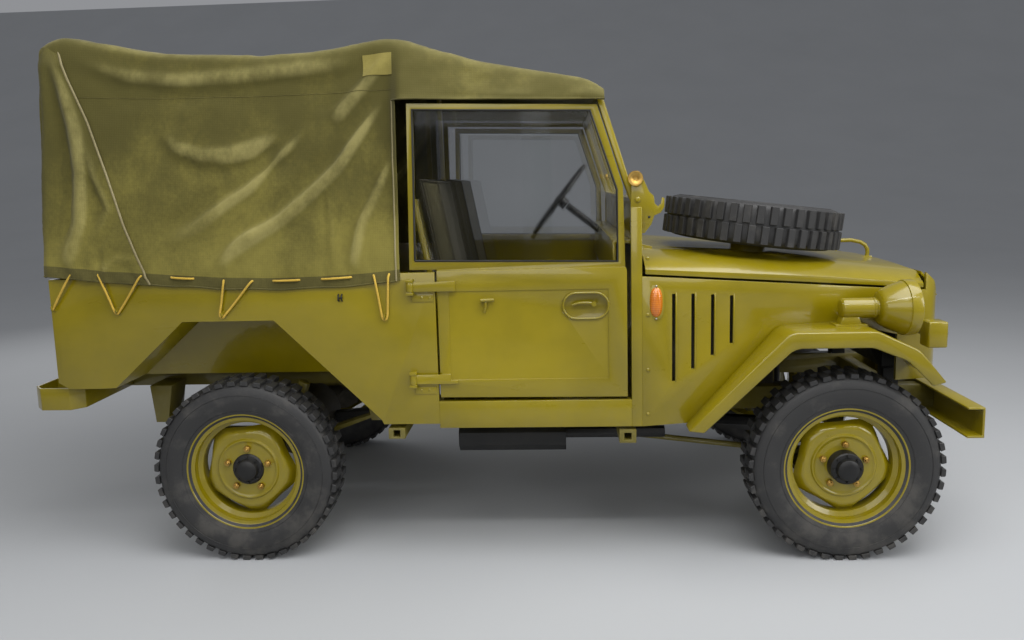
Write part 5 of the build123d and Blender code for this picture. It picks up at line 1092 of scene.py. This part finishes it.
laid = np.stack([curtain_row(share, ROWS_ROUND) for share in np.linspace(0, 1, ROWS_UP)])
x_of, y_of, z_of = laid[:, :, 0], laid[:, :, 1], laid[:, :, 2]
loose = cloudy(laid.reshape(-1, 3), 3.4, 21.0).reshape(x_of.shape) * 0.008
loose += cloudy(laid.reshape(-1, 3), 10.0, 31.0).reshape(x_of.shape) * 0.003
on_side = smooth_step(x_of, ROOF_TAIL, ROOF_TAIL + 0.03)
away = np.interp(z_of, PIPED[:, 0], PIPED[:, 1]) - x_of
side_lift = fold_height(x_of, z_of, WRAP_FOLDS) * smooth_step(away, 0.0, 0.03)
side_lift *= smooth_step(CURTAIN_TOP - z_of, 0.0, 0.08)
side_lift += gathers(x_of, z_of) * 1.3 + np.maximum(loose, -0.003) * smooth_step(away, 0.0, 0.05)
hang = 0.0045 * (np.sin(y_of * 14 + 1.2) + 0.6 * np.sin(y_of * 31 + z_of * 4))
hang *= smooth_step(CURTAIN_TOP - z_of, 0.0, 0.3)
held_low = smooth_step(z_of - CURTAIN_HEM, 0.0, 0.12)
laid[:, :, 1] += np.sign(y_of) * on_side * side_lift
laid[:, :, 0] -= (1 - on_side) * (hang * (0.3 + 0.7 * held_low) + np.abs(loose))
curtain_points = laid
curtain = grid("canvas_rear_curtain", ROWS_UP, ROWS_ROUND)
lay(curtain, laid)
keep_crest(curtain, on_side * side_lift)
steps = ROWS_ROUND - 1
hemmed(curtain, [i // steps < HEM_FACES for i in range(len(curtain.data.polygons))])
thickened(curtain, CLOTH)

# %% [markdown]
# What is sewn on: a pale piping along every free edge of the cloth, the seam between roof and sides, and a patch
# over the head of the main bow. Edges are read back from the laid cloth, so each piping follows its folds.

# %% Piping, seams and the patch
def curve_along(name, points, radius, kind, bevel):
    """A round curve through points."""
    line = bpy.data.curves.new(name, "CURVE")
    line.dimensions, line.bevel_depth, line.bevel_resolution, line.use_fill_caps = "3D", radius, bevel, True
    spline = line.splines.new(kind)
    spline.points.add(len(points) - 1)
    for knot, point in zip(spline.points, points):
        knot.co = (*point, 1)
    return linked(name, line)


def tube(name, points, radius, finish, sides=8):
    """A round tube along points, as a mesh."""
    piece = curve_along(name, points, radius, "POLY", max(1, sides // 4 - 1))
    focus(piece)
    bpy.ops.object.convert(target="MESH")
    bpy.ops.object.shade_smooth()
    cover(piece, finish)
    return piece


def laid_line(points, out):
    """Points of a laid edge, moved outwards a little on each side."""
    points = np.array(points)
    points[:, 1] += np.sign(points[:, 1]) * out
    return [tuple(point) for point in points]


HEM_ROUND, EDGE_ROUND, WRAP_ROUND, SEAM_ROUND = 0.0030, 0.0032, 0.0040, 0.0013  # radii of what is sewn on
PROUD = 0.001
last_behind = int(np.sum(behind)) - 1
behind_bow, free_edge, flap = tilt_points[: last_behind + 1], tilt_points[last_behind], tilt_points[last_behind:]
trim = []
for hem_row, seam_row, inwards in ((0, seams[0], 1), (across - 1, seams[1], -1)):
    up_the_edge = free_edge[hem_row:seam_row + inwards:inwards]
    trim += [
        tube("hem_piping", laid_line(behind_bow[:, hem_row], PROUD), HEM_ROUND, BINDING),
        tube("edge_piping", laid_line(up_the_edge, PROUD), EDGE_ROUND, PIPING),
        tube("flap_piping", laid_line(flap[:, seam_row], PROUD), EDGE_ROUND, BINDING),
        tube("seam", laid_line(behind_bow[:, seam_row + 3 * inwards], 0.0002), SEAM_ROUND, BINDING),
    ]
tilt_trim = joined("canvas_tilt_piping", trim)
trim = [tube("wrap_piping", laid_line(curtain_points[:, end], PROUD), WRAP_ROUND, PIPING) for end in (0, -1)]
trim.append(tube("curtain_hem_piping", laid_line(curtain_points[0], 0), HEM_ROUND, BINDING))
curtain_trim = joined("canvas_rear_piping", trim)

PATCH_FROM, PATCH_ROWS = -0.445, (56, 63)
patch_columns = [i for i, x in enumerate(stations) if PATCH_FROM < x < BOW_AT + 0.004]
patches = []
for start, end in (PATCH_ROWS, (across - PATCH_ROWS[1], across - PATCH_ROWS[0])):
    cells = tilt_points[patch_columns][:, start:end]
    cells[:, :, 1] += np.sign(cells[:, :, 1]) * 0.0030
    cells[:, :, 2] += 0.0015
    patch = grid("bow_patch", len(patch_columns), end - start)
    lay(patch, cells)
    edit(patch)
    bpy.ops.mesh.flip_normals()
    thickened(patch, 0.0022)
    cover(patch, PATCH)
    patches.append(patch)
bow_patches = joined("canvas_bow_patches", patches)

for piece in (tilt, curtain, tilt_trim, curtain_trim, bow_patches):
    carry(piece, "canvas_top", stands_for=piece in (tilt, curtain))

# %% [markdown]
# One rope a side laces the tilt down. It comes out through an eyelet, drops to a hook on the body, rises to the
# next eyelet and goes back in, and between the hooks it shows as short stitches. The rope is a single curve
# from the corner to the main bow, passing behind the cloth between stitches.

# %% Lacing
EYE_UP = 0.030
LOOPS = (  # first eyelet, hook (along, up), second eyelet
    (-1.418, (-1.360, 0.962), -1.260), (-0.955, (-0.972, 0.941), -0.854), (-0.411, (-0.380, 0.924), -0.360),
)
STITCHES = ((-1.147, None, -1.071), (-0.775, None, -0.684), (-0.598, None, -0.497))
OUTSIDE, INSIDE, HOOKED, BESIDE = 0.7500, 0.7300, 0.7440, 0.009
CORNER_HOOK = (-1.600, HOOKED, 0.975)
HOOK_TURN = ((-0.010, 0.004), (-0.004, -0.005), (0.004, -0.005), (0.010, 0.004))


def eyelet(along, out):
    """A point of the rope at an eyelet."""
    return (along, out, float(hem_at(along)) + EYE_UP)


def leg(start, hook_x, hook_z, shares):
    """Points of the rope between an eyelet and a hook."""
    up = eyelet(start, OUTSIDE)[2]
    return [(start + share * (hook_x - start), OUTSIDE - share * BESIDE, up + share * (hook_z - up))
            for share in shares]


def lacing_route():
    """The rope's way from the rear corner forward: (along, out, up)."""
    route = [CORNER_HOOK, (-1.560, OUTSIDE, 1.040), (-1.512, OUTSIDE, 1.112), eyelet(-1.500, INSIDE)]
    for start, hook, end in sorted(LOOPS + STITCHES):
        route += [eyelet(start - 0.030, INSIDE), eyelet(start - 0.006, INSIDE), eyelet(start, OUTSIDE)]
        if hook:
            x, z = hook
            turn = [(x + along, HOOKED, z + up) for along, up in HOOK_TURN]
            route += leg(start, x - BESIDE, z, (0.3, 0.7)) + turn + leg(end, x + BESIDE, z, (0.7, 0.3))
        route += [eyelet(end, OUTSIDE), eyelet(end + 0.006, INSIDE), eyelet(end + 0.025, INSIDE)]
    return route[:-1]


def rope(name, route, radius):
    """A round rope on one smooth curve through a route."""
    piece = curve_along(name, route, radius, "NURBS", 3)
    spline = piece.data.splines[0]
    piece.data.resolution_u, spline.order_u, spline.use_endpoint_u = 6, 3, True
    piece.data.materials.append(ROPE)
    return piece, spline.calc_length()


ROPE_RADIUS = 0.0040
ROPE_LENGTHS = {}
for name, side in (("right", -1), ("left", 1)):
    route = sided(side, lacing_route())
    lacing, length = rope(f"lacing_{name}", route, ROPE_RADIUS)
    carry(lacing, "canvas_top", stands_for=False)
    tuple(route[0])
    ROPE_LENGTHS[name] = round(length, 3)
print("lacing ropes:", ROPE_LENGTHS)

# %% [markdown]
# The lacing needs something to hold it: a hook of bent rod on a small oval plate at every place where the rope
# turns round, and one strap loop between them.

# %% Hooks on the body
HOOK_PLATE = ((0, 0, 0.004), (0, 0.0035, 0.004))
HOOK_ROD = ((0, 0.002, 0.004), (0, 0.012, 0.001), (0, 0.0155, -0.004), (0, 0.0165, 0.004), (0, 0.0165, 0.012))


def hook_on_body(side):
    """Rod hook that opens upwards with its plate, for the side towards which side points, at the origin."""
    plate = tube("plate", sided(side, HOOK_PLATE), 0.012, OLIVE, 16)
    return joined("hook", [plate, tube("rod", sided(side, HOOK_ROD), 0.0030, OLIVE, 12)])


STRAP_AT, STRAP_OUT = -0.539, 0.009
hooks = []
for side in (-1, 1):
    spots = [(CORNER_HOOK[0], CORNER_HOOK[2])] + [loop[1] for loop in LOOPS]
    hooks += repeated(hook_on_body(side), [at(x, side * BODY_HALF, z + 0.002) for x, z in spots])
    for x in (STRAP_AT - 0.006, STRAP_AT + 0.006):
        loop = [(x, BODY_HALF + out, z) for out, z in ((0, 1.012), (STRAP_OUT, 1.008), (STRAP_OUT, 0.992), (0, 0.988))]
        hooks.append(tube("strap_loop", sided(side, loop), 0.0028, BLACK_METAL, 12))
    strap_bar = [(x, BODY_HALF + 0.006, 1.000) for x in (STRAP_AT - 0.009, STRAP_AT + 0.009)]
    hooks.append(tube("strap_bar", sided(side, strap_bar), 0.0026, BLACK_METAL, 12))
carry(joined("lacing_hooks", hooks), "rear_tub", stands_for=False)
print("hooks:", len(hooks))

# %% [markdown]
# Lamps. The headlamp is a shell turned about its own axis: a domed cylinder behind, a neck, then the cone of the
# bowl and a rolled rim, with a bright reflector and a ribbed front glass inside. It stands on a cast foot with
# a flange, screwed to the crown of the wing.

# %% Headlamps
LAMP_FACE, LAMP_ACROSS, LAMP_UP = 1.499, 0.640, 0.916
SHELL = (
    (0.000, -0.2550), (0.018, -0.2550), (0.029, -0.2525), (0.0345, -0.2470), (0.0362, -0.2380), (0.0362, -0.1420),
    (0.0380, -0.1400), (0.0380, -0.1340), (0.0340, -0.1310), (0.0340, -0.1250), (0.0520, -0.1225), (0.0600, -0.1180),
    (0.0660, -0.1080), (0.0780, -0.0860), (0.0875, -0.0620), (0.0935, -0.0440), (0.0945, -0.0395), (0.0985, -0.0375),
    (0.0995, -0.0330), (0.0995, -0.0070), (0.0985, -0.0015), (0.0950, 0.0010), (0.0910, -0.0010), (0.0895, -0.0060),
    (0.0880, -0.0140), (0.0760, -0.0430), (0.0460, -0.0660), (0.0000, -0.0745),
)
REFLECTOR = ((0.0000, -0.0735), (0.0460, -0.0650), (0.0755, -0.0425), (0.0875, -0.0135), (0.0862, -0.0135),
             (0.0745, -0.0415), (0.0455, -0.0635), (0.0000, -0.0720))
FRONT_GLASS = ((0.0000, 0.0085), (0.0300, 0.0072), (0.0600, 0.0030), (0.0820, -0.0045), (0.0890, -0.0090),
               (0.0890, -0.0115), (0.0820, -0.0075), (0.0600, 0.0000), (0.0300, 0.0045), (0.0000, 0.0058))
FORWARD = Matrix.Rotation(math.pi / 2, 4, "Z")
BACKWARD = Matrix.Rotation(-math.pi / 2, 4, "Z")


def placed(piece, name, places):
    """Copies of a pattern at several places, joined, and the pattern dropped."""
    return joined(name, repeated(piece, places))


def block(name, low, high, finish, width=0.002, top=1.0):
    """A box between two corners with rolled edges; its top may be narrower along."""
    points = []
    for z in (low[2], high[2]):
        share = top if z == high[2] else 1.0
        middle = (low[0] + high[0]) / 2
        for x, y in ((low[0], low[1]), (high[0], low[1]), (high[0], high[1]), (low[0], high[1])):
            points.append((middle + (x - middle) * share, y, z))
    faces = [(3, 2, 1, 0), (4, 5, 6, 7), (0, 1, 5, 4), (1, 2, 6, 5), (2, 3, 7, 6), (3, 0, 4, 7)]
    piece = keep_mesh(name, points, (), faces)
    bevelled(piece, width)
    cover(piece, finish)
    return piece


lamp_places = [at(LAMP_FACE, side * LAMP_ACROSS, LAMP_UP) @ FORWARD for side in (-1, 1)]
lamp_parts = [
    placed(turned("lamp_shell", SHELL, 56), "shells", lamp_places),
    placed(turned("lamp_reflector", REFLECTOR, 56, BRIGHT_METAL), "reflectors", lamp_places),
]
for side in (-1, 1):
    y = side * LAMP_ACROSS
    foot = block("lamp_foot", (1.238, y - 0.026, 0.858), (1.318, y + 0.026, 0.888), OLIVE, 0.004, 0.70)
    flange = block("lamp_flange", (1.222, y - 0.034, 0.8555), (1.334, y + 0.034, 0.8615), OLIVE, 0.002)
    lamp_parts += [foot, flange]
headlamp_piece = carry(joined("headlamps_dressed", lamp_parts), "headlamps")
front_glass = turned("front_glass", FRONT_GLASS, 56, LAMP_GLASS)
carry(placed(front_glass, "headlamp_glasses", lamp_places), "headlamp_lenses")
print("headlamps:", [round(v, 3) for v in headlamp_piece.dimensions])

# %% [markdown]
# The small lamps: boxed markers at the nose with a round front glass, oval amber repeaters in a pale ring, and
# round red lamps at the back.

# %% Small lamps
marker = dressed("marker_lamps", 0.006)
DOME = ((0.0000, 0.0110), (0.0140, 0.0095), (0.0240, 0.0050), (0.0285, 0.0000), (0.0300, -0.0010))
marker_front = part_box("marker_lamps")[1][0]
marker_places = [at(marker_front, side * LAMP_ACROSS, 0.820) @ FORWARD for side in (-1, 1)]
marker_glass = turned("marker_glass", DOME, 32, LAMP_GLASS)
carry(placed(marker_glass, "marker_glasses", marker_places), "marker_lamps", stands_for=False)


def oval(name, half_long, half_high, height, finish, flat=0.7):
    """A domed oval towards -Y with a skirt behind; flat is the share of the radius that stays nearly level."""
    rings, turns, fullness, skirt = 10, 40, 0.8, 0.004
    points = [(0, -height, 0)]
    for ring in range(1, rings + 1):
        share = ring / rings
        rise = height * (1 - share ** (2 / (1 - flat * 0.5)))
        for i in range(turns):
            a = 2 * math.pi * i / turns
            x = abs(math.cos(a)) ** fullness * math.copysign(half_long, math.cos(a))
            z = abs(math.sin(a)) ** fullness * math.copysign(half_high, math.sin(a))
            points.append((share * x, -rise, share * z))
    points += [(x, skirt, z) for x, _, z in points[-turns:]]
    faces = [(0, 1 + i, 1 + (i + 1) % turns) for i in range(turns)]
    for ring in range(rings):
        low, high = 1 + ring * turns, 1 + (ring + 1) * turns
        faces += [(low + i, high + i, high + (i + 1) % turns, low + (i + 1) % turns) for i in range(turns)]
    piece = keep_mesh(name, points, (), faces)
    smoothed(piece, 50)
    cover(piece, finish)
    return piece


low_corner, high_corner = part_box("side_repeaters")
repeater_x, repeater_z = (low_corner[0] + high_corner[0]) / 2, (low_corner[2] + high_corner[2]) / 2
repeater_out = high_corner[1] - 0.015
repeater_places = [at(repeater_x, side * repeater_out, repeater_z) @ facing(side) for side in (-1, 1)]
screw_places = [place @ at(0, -0.0055, up) for place in repeater_places for up in (-0.058, 0.058)]
repeater_piece = joined("repeaters_dressed", [
    placed(oval("repeater_ring", 0.0285, 0.0625, 0.0060, OLIVE, 0.2), "rings", repeater_places),
    placed(oval("repeater_lens", 0.0235, 0.0545, 0.0170, AMBER), "ambers", repeater_places),
    placed(oval("repeater_screw", 0.0035, 0.0035, 0.0030, BRIGHT_METAL), "screws", screw_places),
])
carry(repeater_piece, "side_repeaters")

TAIL_LENS = ((0.0, 0.036), (0.018, 0.034), (0.029, 0.028), (0.033, 0.020), (0.034, 0.012))
TAIL_RING = ((0.033, 0.016), (0.0375, 0.015), (0.038, 0.012), (0.038, 0.0), (0.0, 0.0))
tail_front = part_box("rear_lamps")[1][0]
tail_places = [at(tail_front, side * 0.640, 0.860) @ BACKWARD for side in (-1, 1)]
tail_piece = joined("rear_lamps_dressed", [
    placed(turned("tail_lens", TAIL_LENS, 32, RED), "tail_lenses", tail_places),
    placed(turned("tail_ring", TAIL_RING, 32), "tail_rings", tail_places),
])
carry(tail_piece, "rear_lamps")
print("small lamps:", marker.name, repeater_piece.name, tail_piece.name)

# %% [markdown]
# The hand wheel is black moulded rim on three flat spokes. It is turned about Y like the road wheels and then
# laid into the column's plane, which leans back by 38 degrees.

# %% Hand wheel
STEER_AT = Vector((0.252, 0.375, 1.304))
STEER_TILT = math.radians(38)
towards_driver = Vector((-math.cos(STEER_TILT), 0, math.sin(STEER_TILT)))
sideways = Vector((0, 1, 0))
steer_place = Matrix((sideways, -towards_driver, sideways.cross(-towards_driver))).transposed().to_4x4()
steer_place.translation = STEER_AT
grip = [(0.194 + 0.011 * math.cos(a), 0.0105 * math.sin(a)) for a in np.linspace(0, 2 * math.pi, 12, endpoint=False)]
BOSS = ((0.0, 0.016), (0.014, 0.0155), (0.024, 0.012), (0.029, 0.004), (0.030, -0.010), (0.026, -0.011),
        (0.026, -0.044), (0.0, -0.044))
wheel_parts = [turned("grip", grip, 72, PLASTIC, closed=True), turned("boss", BOSS, 32, PLASTIC)]
SPOKE, SPOKES = ((0.020, 0.004), (0.07, 0.010), (0.13, 0.006), (0.192, 0.0)), 3
for i in range(SPOKES):
    a = 2 * math.pi * i / SPOKES
    wheel_parts.append(tube("spoke", [(r * math.cos(a), lift, r * math.sin(a)) for r, lift in SPOKE], 0.0065,
                            PLASTIC, 12))
hand_wheel = joined("hand_wheel", wheel_parts)
hand_wheel.data.transform(steer_place)
carry(hand_wheel, "steering_wheel")
print("hand wheel:", tuple(round(v, 3) for v in hand_wheel.dimensions))

# %% [markdown]
# Small things a hand or an eye finds on the doors and sides: the lever in its pressed cup, screws in the hinges,
# the loop for a strap, rubber round the windows, the clamps that hold the windshield up, lips on the louvres and
# the hooked bonnet handle. Each rides on the body that carries it.

# %% Door and side fittings
def stud(radius, height, finish):
    """Round screw head towards -Y."""
    outline = [(0, height), (radius * 0.6, height * 0.9), (radius * 0.95, height * 0.5), (radius, 0), (radius, -0.002)]
    return turned("stud", outline, 14, finish)


def on_side(side, x, z, out):
    """Place for a piece made towards -Y, on one side of the car."""
    return at(x, side * out, z) @ facing(side)


def stadium(x, z, half_long, half_high, count=10):
    """Closed outline with round ends: (along, up)."""
    points = []
    for centre, start in ((half_long - half_high, -90), (half_high - half_long, 90)):
        for i in range(count + 1):
            a = math.radians(start + 180 * i / count)
            points.append((x + centre + half_high * math.cos(a), z + half_high * math.sin(a)))
    return points + points[:1]


WINDOW = ((-0.268, 1.125), (-0.258, 1.652), (0.359, 1.632), (0.448, 1.360), (0.450, 1.110), (-0.268, 1.125))
CUP = stadium(0.335, 0.956, 0.080, 0.046)
SKIN = BODY_HALF + 0.0005
DOOR_TUBES = (  # name, points, radius, finish, sides
    ("cup_rim", [(x, BODY_HALF - 0.0005, z) for x, z in CUP], 0.0042, OLIVE, 12),
    ("lever", [(0.288, 0.7235, 0.958), (0.310, 0.7280, 0.965), (0.340, 0.7300, 0.966), (0.366, 0.7300, 0.963)],
     0.0055, OLIVE, 12),
    ("lever_knob", [(0.364, 0.716, 0.962), (0.364, 0.737, 0.962)], 0.0095, OLIVE, 16),
    ("loop_bar", [(-0.036, SKIN + 0.006, 0.982), (0.012, SKIN + 0.006, 0.984)], 0.0065, OLIVE, 12),
    ("loop_leg", [(-0.018, SKIN, 0.982), (-0.019, SKIN + 0.007, 0.958), (-0.024, SKIN, 0.940)], 0.0048, OLIVE, 12),
    ("window_seal", [(x, 0.7148, z) for x, z in WINDOW], 0.0042, SEAL, 8),
)
for side, door in ((-1, "door_right"), (1, "door_left")):
    fittings = [tube(name, sided(side, points), *looks) for name, points, *looks in DOOR_TUBES]
    carry(joined(f"fittings_of_{door}", fittings), door, stands_for=False)

LEAF_IN, LEAF_OUT = 0.7345, 0.7385
hinge_spots = [on_side(side, x, z, BODY_HALF + 0.001) for side in (-1, 1) for x, z in (
    (-0.246, 0.994), (-0.217, 0.994), (-0.258, 0.657), (-0.231, 0.657),
)]
plates = []
for side in (-1, 1):
    low, high = sorted((side * LEAF_IN, side * LEAF_OUT))
    plates += [block("hinge_plate", (-0.282, low, z - 0.014), (-0.204, high, z + 0.014), OLIVE, 0.0012)
               for z in (0.994, 0.657)]
hinge_screws = joined("hinge_screws", plates + repeated(stud(0.0062, 0.0042, OLIVE), hinge_spots))
carry(hinge_screws, "hinge_brackets", stands_for=False)


def bay_out(x):
    """How far out the side of the engine bay stands at a station."""
    return BODY_HALF - (BODY_HALF - 0.520) / (1.500 - 0.533) * (x - 0.533)


LIPS = ((0.646, 0.673, 0.989), (0.716, 0.714, 0.986), (0.788, 0.759, 0.980), (0.858, 0.799, 0.973))
LIP_BACK, LIP_SUNK, BOLTS_UP = 0.0085, 0.003, (1.118, 0.919, 0.721, 0.560)
side_parts = []
for side in (-1, 1):
    for x, low, top in LIPS:
        edge = x + LIP_BACK
        lip = [(edge, bay_out(edge) + out, up) for out, up in (
            (-LIP_SUNK, low - 0.004), (LIP_SUNK, low + 0.012), (LIP_SUNK, top - 0.012), (-LIP_SUNK, top + 0.004),
        )]
        side_parts.append(tube("louvre_lip", sided(side, lip), 0.0036, OLIVE, 12))
    bolts = [on_side(side, 0.552, z, bay_out(0.552) + 0.0005) for z in BOLTS_UP]
    side_parts += repeated(stud(0.0068, 0.0055, OLIVE), bolts)
carry(joined("side_panel_fittings", side_parts), "side_panels", stands_for=False)

CLAMP = (
    (0.496, 1.297), (0.500, 1.385), (0.522, 1.404), (0.542, 1.392), (0.560, 1.350), (0.576, 1.336), (0.580, 1.308),
    (0.591, 1.298), (0.601, 1.308), (0.604, 1.330), (0.613, 1.326), (0.613, 1.296), (0.600, 1.276), (0.578, 1.266),
    (0.568, 1.236), (0.544, 1.206), (0.533, 1.206), (0.515, 1.250),
)
CLAMP_IN, CLAMP_OUT = 0.7045, 0.7125
KNOB = ((0.0, 0.008), (0.007, 0.009), (0.010, 0.012), (0.019, 0.0165), (0.0255, 0.0165), (0.027, 0.013),
        (0.0255, 0.008), (0.014, 0.004), (0.010, 0.0), (0.010, -0.004), (0.0, -0.004))
count = len(CLAMP)
clamp_faces = [tuple(range(count)), tuple(range(2 * count - 1, count - 1, -1))]
clamp_faces += [(i, i + count, (i + 1) % count + count, (i + 1) % count) for i in range(count)]
clamp_parts = []
for side in (-1, 1):
    both_faces = [(x, out, z) for out in (CLAMP_IN, CLAMP_OUT) for x, z in CLAMP]
    plate = keep_mesh("clamp_plate", sided(side, both_faces), (), clamp_faces)
    edit(plate)
    bpy.ops.mesh.normals_make_consistent(inside=False)
    bpy.ops.object.mode_set(mode="OBJECT")
    bevelled(plate, 0.0016)
    cover(plate, OLIVE)
    clamp_parts += [
        plate, *repeated(turned("knob", KNOB, 36, BRASS), [on_side(side, 0.512, 1.396, CLAMP_OUT + 0.0005)]),
        *repeated(stud(0.0105, 0.0075, OLIVE), [on_side(side, 0.520, 1.323, CLAMP_OUT)]),
        *repeated(stud(0.0045, 0.003, BLACK_METAL), [on_side(side, x, 1.262, CLAMP_OUT) for x in (0.560, 0.530)]),
    ]
carry(joined("windshield_clamps", clamp_parts), "windshield_frame", stands_for=False)

grip_line = [(1.573, 0, 1.034), (1.577, 0, 1.050), (1.576, 0, 1.068), (1.566, 0, 1.086), (1.545, 0, 1.099),
             (1.505, 0, 1.108), (1.458, 0, 1.107)]
carry(joined("bonnet_handle", [
    tube("bonnet_grip", grip_line, 0.0085, OLIVE, 16),
    block("bonnet_pad", (1.555, -0.018, 1.030), (1.592, 0.018, 1.040), OLIVE, 0.003),
]), "bonnet", stands_for=False)
print("fittings:", [o.name for o in bpy.data.objects if "fittings" in o.name or "clamp" in o.name])

# %% [markdown]
# Seats and benches are cotton over a spring pad. Each pad is wrapped afresh from its solid as an even mesh, blown
# up a little as a cloth with its seams held, and gets a cord of piping where top and side are sewn together.

# %% Seats and benches
SEAM_NEAR, BLOWN, FARTHEST = 0.010, 14, 0.016


def upholstered(node, pressure):
    """Crowned cushions in place of the plain pads of a node."""
    pad = merged(node + "_crowned", node)
    seams = [[tuple(pad.data.vertices[i].co) for i in edge.vertices] for edge in pad.data.edges]
    modified(pad, "REMESH", mode="VOXEL", voxel_size=0.009, adaptivity=0)
    points = np.array([tuple(v.co) for v in pad.data.vertices])
    held = np.full(len(points), np.inf)
    for a, b in seams:
        a, b = np.array(a), np.array(b)
        t = np.clip((points - a) @ (b - a) / max(1e-9, (b - a) @ (b - a)), 0, 1)
        held = np.minimum(held, np.linalg.norm(points - a - t[:, None] * (b - a), axis=1))
    group = pad.vertex_groups.new(name="seams")
    group.add([int(i) for i in np.nonzero(held < SEAM_NEAR)[0]], 1.0, "REPLACE")
    cloth = pad.modifiers.new("cloth", "CLOTH")
    cloth.settings.quality, cloth.settings.mass = 4, 0.3
    cloth.settings.vertex_group_mass = "seams"
    cloth.settings.use_pressure, cloth.settings.uniform_pressure_force = True, pressure
    cloth.settings.effector_weights.gravity = 0
    cloth.settings.tension_stiffness = cloth.settings.compression_stiffness = 8
    cloth.point_cache.frame_start, cloth.point_cache.frame_end = 1, BLOWN
    for number in range(1, BLOWN + 1):
        bpy.context.scene.frame_set(number)
    focus(pad)
    bpy.ops.object.modifier_apply(modifier="cloth")
    bpy.context.scene.frame_set(1)
    moved = np.array([tuple(v.co) for v in pad.data.vertices])
    way = np.linalg.norm(moved - points, axis=1)
    kept = np.minimum(1.0, FARTHEST / np.maximum(way, 1e-6))
    moved = points + (moved - points) * kept[:, None]
    pad.data.vertices.foreach_set("co", moved.astype(np.float32).ravel())
    pad.data.update()
    print(node, "largest move", round(float(way.max()), 4), "kept", round(float((way * kept).max()), 4))
    modified(pad, "SMOOTH", factor=0.5, iterations=3)
    bpy.ops.object.shade_smooth()
    cover(pad, SEAT_CLOTH)
    carry(pad, node)
    cords = [tube("seat_piping", seam, 0.0035, SEAT_PIPING) for seam in seams]
    carry(joined(node + "_piping", cords), node, stands_for=False)
    return pad


pads = [upholstered("seat_cushions", 3.0), upholstered("bench_cushions", 3.0)]
print("cushions:", [(pad.name, len(pad.data.polygons)) for pad in pads])

# %% [markdown]
# The last cell gives the floor its paper finish.

# %% Floor finish
paper = Finish("studio_paper", Specular_IOR_Level=0.2, Roughness=0.9)
paper.set(Base_Color=paper.mix(paper.noise(0.6, 3), colour(0.40, 0.41, 0.42), colour(0.45, 0.46, 0.47)))
cover(floor, paper.material)
